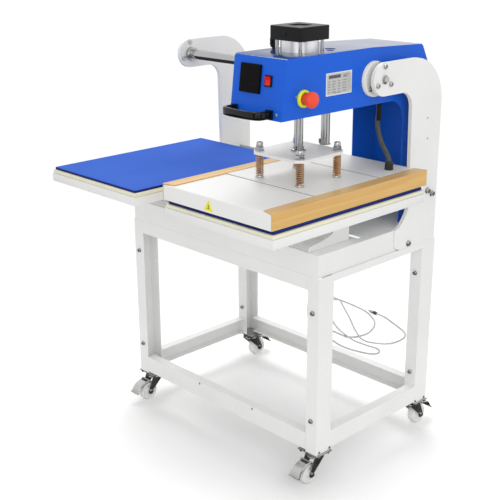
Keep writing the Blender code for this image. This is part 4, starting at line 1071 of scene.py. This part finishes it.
class HEATPRESS_OT_controls(bpy.types.Operator):
    """Makes the controller, power switch, emergency button, data plate, handle and regulator"""
    bl_idname = "heatpress.controls"
    bl_label = "Controls and Handle"

    def execute(self, context):
        self.controller()
        self.switch()
        self.emergency()
        self.data_plate()
        self.handle()
        self.regulator()
        return {"FINISHED"}

    def controller(self):
        panel = Shape()
        front_panel(panel, 0.2072, 0.2800, 0.0600, 0.1340, 0.0003, 0.0060, 0.0022, 0, 0.0006)
        front_panel(panel, 0.2096, 0.2776, 0.0624, 0.1316, 0.0055, 0.0066, 0.0015)
        front_panel(panel, 0.2140, 0.2732, 0.0920, 0.1270, 0.0060, 0.0069, 0.0012)
        for i in range(4):
            left = 0.2150 + i * 0.0150
            front_panel(panel, left, left + 0.0115, 0.0700, 0.0780, 0.0062, 0.0074, 0.0016, 0, 0.0006)
        panel.finish("temperature_controller", "head", "glass", "controller", 0.0004)

    def switch(self):
        bezel = Shape()
        x0, x1, up0, up1, rim = 0.2940, 0.3190, 0.0815, 0.1105, 0.0032
        for a, b, c, d in ((x0, x1, up0, up0 + rim), (x0, x1, up1 - rim, up1), (x0, x0 + rim, up0 + rim, up1 - rim),
                           (x1 - rim, x1, up0 + rim, up1 - rim)):
            front_panel(bezel, a, b, c, d, 0.0003, 0.0034)
        front_panel(bezel, x0 + rim, x1 - rim, up0 + rim, up1 - rim, 0.0002, 0.0012)
        bezel.finish("switch_bezel", "head", "black", (), 0.0005, 2, weld=True)
        rocker = Shape()
        left, right, low, high = x0 + rim + 0.0004, x1 - rim - 0.0004, up0 + rim + 0.0004, up1 - rim - 0.0004
        steps = 8
        rings = []
        for i in range(steps + 1):
            share = i / steps
            up = low + (high - low) * share
            out = 0.0088 - 0.0042 * math.sin(math.pi * share) * 0.6 - 0.0028 * (1 - share)
            back = 0.0016 + 0.0022 * abs(2 * share - 1) ** 1.5
            rings.append([on_front(left, up, back), on_front(left, up, out), on_front(right, up, out),
                          on_front(right, up, back)])
        rocker.loft(rings)
        rocker.finish("power_rocker_key", "switch", "rocker_red", "power_switch", 0.0006, 2, 50)

    def emergency(self):
        origin = at(HEAD_RIGHT, -0.2886, 1.116)
        collar = Shape()
        collar.turned([(0.0146, 0.0003), (0.0226, 0.0003), (0.0226, 0.0048), (0.0220, 0.0062), (0.0200, 0.0078),
                       (0.0190, 0.0080), (0.0165, 0.0072), (0.0150, 0.0066), (0.0146, 0.0060), (0.0146, 0.0003)],
                      origin, X_AXIS, 64)
        collar.finish("emergency_collar", "head", "lime", "estop_collar")
        button = Shape()
        button.turned([(0.0134, 0.0066), (0.0134, 0.0170), (0.0142, 0.0190), (0.0168, 0.0205), (0.0193, 0.0222),
                       (0.0205, 0.0248), (0.0208, 0.0285), (0.0206, 0.0325), (0.0196, 0.0354), (0.0176, 0.0375),
                       (0.0145, 0.0389), (0.0100, 0.0396), (0.0050, 0.0399), (0.0006, 0.0400)], origin, X_AXIS, 64)
        button.finish("emergency_mushroom", "estop", "red", "estop_button", sharp=70)

    def data_plate(self):
        y0, y1, z0, z1 = -0.2040, -0.1030, 1.1105, 1.1695
        plate = Shape()
        face = HEAD_RIGHT + 0.0001

        def patch(a, b, low, high, thick, index):
            plate.box(at(face, a, low), at(face + thick, b, high), index)

        patch(y0, y1, z0, z1, 0.0006, 1)
        patch(y0 + 0.0028, y1 - 0.0028, z0 + 0.0028, z1 - 0.0028, 0.0008, 0)
        patch(y0 + 0.010, y0 + 0.056, z1 - 0.0150, z1 - 0.0065, 0.0010, 2)
        patch(y0 + 0.066, y1 - 0.012, z1 - 0.0100, z1 - 0.0075, 0.0010, 3)
        patch(y0 + 0.066, y1 - 0.020, z1 - 0.0145, z1 - 0.0120, 0.0010, 2)
        widths = (0.009, 0.015, 0.010, 0.016)
        for row in range(5):
            top = z1 - 0.0215 - row * 0.0068
            for column, start in enumerate((0.008, 0.023, 0.046, 0.064)):
                wide = widths[column] * (0.75 + 0.25 * ((row * 3 + column * 2) % 4) / 3)
                patch(y0 + start, y0 + start + wide, top - 0.0024, top, 0.0010, 3)
        patch(y0 + 0.030, y0 + 0.058, z0 + 0.0048, z0 + 0.0066, 0.0010, 3)
        for y in (y0 + 0.0040, y1 - 0.0040):
            for z in (z0 + 0.0040, z1 - 0.0040):
                plate.turned([(0.0018, 0.0), (0.0018, 0.0010), (0.0012, 0.0016)], at(face, y, z), X_AXIS, 16, 1)
        plate.finish("data_plate", "head", ["plate_silver", "plate_white", "ink", "grey_ink_and_hole_shade"])

    def handle(self):
        """A flat bow grip with rounded edges on two feet."""
        middle = 0.2580
        left = [(0.1930, -0.3684), (0.1930, -0.3950), (0.1970, -0.4050), (0.2070, -0.4105), (0.2300, -0.4140)]
        right = [(2 * middle - x, y) for x, y in reversed(left)]
        points = [Vector((x, y, 0)) for x, y in (*left, (middle, -0.4150), *right)]
        line = smooth_line(points, 0.006)
        line[0], line[-1] = points[0], points[-1]
        rings = []
        low, high, half, edge = 1.0700, 1.0920, 0.0062, 0.0050
        for i, spot in enumerate(line):
            along = (line[min(i + 1, len(line) - 1)] - line[max(i - 1, 0)]).normalized()
            across = Vector((along.y, -along.x, 0))
            rings.append([at(*(spot + across * wide).xy, (low + high) / 2 + up)
                          for wide, up in rounded_outline(half, (high - low) / 2, edge, 3)])
        grip = Shape()
        grip.loft(rings)
        for x in (0.1960, 0.3230):
            grip.box(at(x - 0.0100, -0.3750, low - 0.001), at(x + 0.0100, -0.3683, high + 0.001))
        grip.finish("pull_grip", "head", "gloss_black", "pull_handle", sharp=40)

    def regulator(self):
        knob = Shape()
        origin = at(0.197, -0.225, HEAD_TOP)
        knob.turned([(0.0064, 0.0003), (0.0064, 0.0045), (0.0102, 0.0050), (0.0102, 0.0085), (0.0112, 0.0090),
                     (0.0112, 0.0300), (0.0104, 0.0315), (0.0060, 0.0320)], origin, Z_AXIS, 48)
        for i in range(24):
            angle = 2 * math.pi * i / 24
            spot = origin + Vector((0.0111 * math.cos(angle), 0.0111 * math.sin(angle), 0.0))
            knob.turned([(0.0009, 0.0100), (0.0009, 0.0292)], spot, Z_AXIS, 8)
        knob.finish("pressure_knob", "regulator", "black", "regulator_knob")


class HEATPRESS_OT_cylinder(bpy.types.Operator):
    """Makes the air cylinder on top of the head"""
    bl_idname = "heatpress.cylinder"
    bl_label = "Air Cylinder"

    def execute(self, context):
        x, y = BED_X, BED_Y
        bottom, top = (c.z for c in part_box("cylinder_body"))
        body = Shape()
        body.turned([(0.0500, bottom + 0.030), (0.0500, top)], at(x, y, 0), Z_AXIS, 96)
        body.box(at(x - 0.0520, y - 0.0520, bottom), at(x + 0.0520, y + 0.0520, bottom + 0.033), 1)
        for sx, sy in CORNERS:
            spot = at(x + sx * TIE_ROD_OUT, y + sy * TIE_ROD_OUT, 0)
            body.turned([(0.0045, bottom + 0.020), (0.0045, top)], spot, Z_AXIS, 32, 2)
        body.finish("cylinder_barrel", "head", ["barrel", "black_cap", "chrome"],
                    "cylinder_body")
        low, high = (c.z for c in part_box("cylinder_top_cap"))
        cap = Shape()
        outline = [Vector(p) for p in rounded_outline(CAP_HALF, CAP_HALF, 0.0070, 6)]
        rings = [[at(*(Vector((x, y)) + p * share), z) for p in outline]
                 for share, z in ((0.985, low), (1.0, low + 0.0008), (1.0, high - 0.0010), (0.981, high))]
        recess = [[at(*(Vector((x, y)) + p.normalized() * radius), z) for p in outline]
                  for radius, z in ((0.0330, high), (0.0325, high - 0.0030), (0.0200, high - 0.0032))]
        cap.loft(rings + recess)
        for sx, sy in CORNERS:
            spot = at(x + sx * TIE_ROD_OUT, y + sy * TIE_ROD_OUT, high - 0.0002)
            cap.screw(spot, Z_AXIS, 0.0052, 0.0006, 1)
        for side in (-1, 1):
            cap.turned([(0.0075, 0.0), (0.0075, 0.0006), (0.0062, 0.0009)],
                       at(x, y + side * CAP_HALF, (low + high) / 2), Y_AXIS * side, 6, 0)
        cap.finish("cylinder_head_cap", "head", ["black_cap", "dark_steel"], "cylinder_top_cap",
                   sharp=35)
        return {"FINISHED"}


# ---- press -----------------------------------------------------------------
class HEATPRESS_OT_press(bpy.types.Operator):
    """Makes the piston, the guide rod, the pressure plate and its sprung bolts"""
    bl_idname = "heatpress.press"
    bl_label = "Piston and Springs"

    def execute(self, context):
        refined("pressure_plate", "press", "white_coat", 0.0016)
        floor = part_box("pressure_plate")[1].z
        rod = Shape()
        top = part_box("piston_rod")[1].z
        collar = [(0.0190, 0.0003), (0.0205, 0.0010), (0.0205, 0.0045), (0.0190, 0.0055), (0.0145, 0.0060),
                  (0.0145, 0.0130), (0.0125, 0.0135)]
        rod.turned([(radius, floor + up) for radius, up in collar] + [(0.0125, top)], at(BED_X, BED_Y, 0),
                   Z_AXIS, 64)
        # Four dark dots on the collar: painted shade standing for its holes.
        for angle in (200, 290, 20, 110):
            turn = math.radians(angle)
            out = Vector((math.cos(turn), math.sin(turn), 0))
            hole = at(BED_X, BED_Y, floor + 0.0095) + out * 0.0142
            rod.turned([(0.0024, 0.0), (0.0024, 0.0006)], hole, out, 12, 1)
        rod.finish("piston_bar", "press", ["chrome", "painted_hole_shade"], "piston_rod")
        guide = Shape()
        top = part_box("press_guide_rod")[1].z
        spot = at(BED_X, -0.098, 0)
        guide.turned([(0.0150, floor + 0.0003), (0.0160, floor + 0.0010), (0.0160, floor + 0.0026),
                      (0.0128, floor + 0.0030), (0.0125, floor + 0.0034), (0.0125, top)], spot, Z_AXIS, 64)
        guide.box(spot + Vector((-0.0128, -0.0090, floor + 0.004)),
                  spot + Vector((-0.0040, -0.0121, floor + 0.016)), 1)
        guide.finish("guide_bar", "press", ["chrome", "dark_steel"], "press_guide_rod")
        number = 0
        for sy in (-1, 1):
            for sx in (-1, 1):
                number += 1
                self.spring_bolt(number, BED_X + sx * 0.0745, BED_Y + sy * 0.073, floor)
        return {"FINISHED"}

    def spring_bolt(self, number, x, y, floor):
        """One bolt on top of the pressure plate with the spring under it."""
        spot = at(x, y, 0)
        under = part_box("pressure_plate")[0].z
        low = PLATEN_TOP + 0.0066
        bolt = Shape()
        seat = [(0.0110, 0.0004), (0.0122, 0.0010), (0.0122, 0.0030), (0.0110, 0.0036), (0.0104, 0.0062),
                (0.0060, 0.0064)]
        washer = [(0.0118, 0.0003), (0.0124, 0.0008), (0.0124, 0.0026), (0.0116, 0.0032)]
        head = [(0.0082, 0.0118), (0.0090, 0.0124), (0.0092, 0.0140), (0.0092, 0.0215), (0.0080, 0.0236),
                (0.0050, 0.0238), (0.0048, 0.0180)]
        bolt.turned([(radius, PLATEN_TOP + up) for radius, up in seat], spot, Z_AXIS, 36, 1)
        bolt.turned([(0.0046, PLATEN_TOP + 0.004), (0.0046, floor + 0.004)], spot, Z_AXIS, 24, 1)
        bolt.turned([(radius, floor + up) for radius, up in washer], spot, Z_AXIS, 36, 1)
        bolt.hexagon(spot + Z_AXIS * (floor + 0.0030), Z_AXIS, 0.0116, 0.0088, 1)
        bolt.turned([(radius, floor + up) for radius, up in head], spot, Z_AXIS, 32, 1)
        turns, wire = sizes().coil_turns, sizes().wire / 2
        ring = 0.0112 - wire
        steps = int(turns * 20)
        points = []
        for i in range(steps + 1):
            angle = 2 * math.pi * i / 20 + number
            share = i / steps
            eased = share + 0.012 * math.sin(2 * math.pi * share)
            height = low + wire + (under - low - 2 * wire - 0.0004) * eased
            points.append(spot + Vector((ring * math.cos(angle), ring * math.sin(angle), height)))
        bolt.tube(points, wire, 8, 0)
        bolt.finish(f"platen_spring_{number}", "press", ["spring", "steel"],
                    f"platen_spring_bolt_{number}")


class HEATPRESS_OT_platen(bpy.types.Operator):
    """Makes the heated platen: cover, guards, heating plate, warning triangle and heater lead"""
    bl_idname = "heatpress.platen"
    bl_label = "Platen"

    def execute(self, context):
        refined("platen_cover", "press", "white_coat", 0.0)
        refined("heating_plate", "press", "heater", 0.0012)
        for side in ("left", "right"):
            refined(f"side_guard_{side}", "press", "laminate", 0.0011, 3)
        left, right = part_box("side_guard_left"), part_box("side_guard_right")
        overlap = Shape()
        x0, x1 = left[1].x + 0.0006, right[0].x - 0.0006
        y0, y1, thick = -0.3150, -0.0600, 0.0018
        rings = []
        for inset, z in ((0.0, 0.0), (0.0, thick * 0.6), (0.0005, thick)):
            west, east, front, back = x0 + inset, x1 - inset, y0 + inset, y1 - inset
            rings.append([at(x, y, PLATEN_TOP + z)
                          for x, y in ((west, front), (east, front), (east, back), (west, back))])
        overlap.loft(rings)
        # Grey strips along the centre sheet's front and rear edges: painted shadow of its step, the rear one
        # reaching past the step so that it shows.
        for low, high in ((y0 - 0.0036, y0 - 0.0001), (y1 + 0.0001, y1 + 0.0085)):
            overlap.box(at(x0, low, PLATEN_TOP - 0.0002), at(x1, high, PLATEN_TOP + 0.0002), 1)
        overlap.finish("cover_centre_sheet", "press", ["white_coat", "seam_painted_shadow"])
        self.triangle()
        self.lead()
        return {"FINISHED"}

    def triangle(self):
        """A yellow triangle with rounded corners and a dark mark on the cover's front face."""
        x, z, face = 0.2470, 0.8570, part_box("platen_cover")[0].y - MID_Y
        reach, corner = 0.0152, 0.002
        sticker = Shape()
        ring = []
        for third in range(3):
            middle = math.radians(90 + third * 120)
            for swing in (-60, -30, 0, 30, 60):
                turn = middle + math.radians(swing)
                ring.append((x + reach * math.cos(middle) + corner * math.cos(turn),
                             z - 0.003 + reach * math.sin(middle) + corner * math.sin(turn)))
        sticker.loft([[at(px, face - out, pz) for px, pz in ring] for out in (-0.0002, 0.0004)])
        for half, low, high in ((0.0014, 0.0050, -0.0030), (0.0042, 0.0078, 0.0058)):
            sticker.box(at(x - half, face - 0.0006, z - low), at(x + half, face, z - high), 1)
        sticker.finish("warning_triangle", "press", ["yellow", "ink"])

    def lead(self):
        """The heater's braided lead: out of the head, down into a ribbed gland on the cover."""
        spot = at(LEAD_X, LEAD_Y, 0)
        gland = Shape()
        body = [(0.0118, 0.0003), (0.0125, 0.0010), (0.0125, 0.0036), (0.0116, 0.0042), (0.0108, 0.0046),
                (0.0108, 0.0200), (0.0100, 0.0222), (0.0078, 0.0240)]
        gland.turned([(radius, PLATEN_TOP + up) for radius, up in body], spot, Z_AXIS, 40)
        for i in range(18):
            angle = 2 * math.pi * i / 18
            rib = spot + Vector((0.0108 * math.cos(angle), 0.0108 * math.sin(angle), PLATEN_TOP))
            gland.turned([(0.0009, 0.0052), (0.0009, 0.0190)], rib, Z_AXIS, 8)
        line = [(0.3400, 0.0450, 1.0300), (0.3365, 0.0450, 1.0120), (0.3400, 0.0445, 0.9880),
                (0.3530, 0.0425, 0.9560), (0.3720, 0.0400, 0.9310), (0.3850, 0.0385, 0.9130),
                (LEAD_X, LEAD_Y, 0.8990)]
        gland.tube(smooth_line([at(*p) for p in line], 0.004), 0.0066, 20, 1)
        sleeve = [(0.3400, 0.0450, 1.1140), (0.3400, 0.0450, 1.0900), (0.3405, 0.0450, 1.0450),
                  (0.3405, 0.0450, 1.0120)]
        gland.tube(smooth_line([at(*p) for p in sleeve], 0.006), 0.0071, 24, 2)
        gland.finish("heater_lead", "press", ["gland", "braid", "black"], "heater_conduit",
                     sharp=40)


# ---- panel and registration ------------------------------------------------
OPERATORS = (HEATPRESS_OT_stage, HEATPRESS_OT_hose, HEATPRESS_OT_stand, HEATPRESS_OT_casters, HEATPRESS_OT_base,
             HEATPRESS_OT_beds, HEATPRESS_OT_head, HEATPRESS_OT_controls, HEATPRESS_OT_cylinder, HEATPRESS_OT_press,
             HEATPRESS_OT_platen)


class HEATPRESS_PT_panel(bpy.types.Panel):
    """Lists the colours, sizes and build steps of the heat press"""
    bl_idname = "HEATPRESS_PT_panel"
    bl_label = "Heat Press"
    bl_space_type = "VIEW_3D"
    bl_region_type = "UI"
    bl_category = "Heat Press"

    def draw(self, context):
        for settings in (context.scene.heat_press_colours, context.scene.heat_press_sizes):
            column = self.layout.column(align=True)
            for key in settings.__annotations__:
                column.prop(settings, key)
        steps = self.layout.column(align=True)
        for operator in OPERATORS:
            steps.operator(operator.bl_idname)


CLASSES = (HeatPressColours, HeatPressSizes, *OPERATORS, HEATPRESS_PT_panel)


def register():
    for each in CLASSES:
        bpy.utils.register_class(each)
    bpy.types.Scene.heat_press_colours = bpy.props.PointerProperty(type=HeatPressColours)
    bpy.types.Scene.heat_press_sizes = bpy.props.PointerProperty(type=HeatPressSizes)


def unregister():
    del bpy.types.Scene.heat_press_sizes
    del bpy.types.Scene.heat_press_colours
    for each in reversed(CLASSES):
        bpy.utils.unregister_class(each)


def main():
    register()
    for operator in OPERATORS:
        group, name = operator.bl_idname.split(".")
        getattr(getattr(bpy.ops, group), name)()


if __name__ == "__main__":
    main()
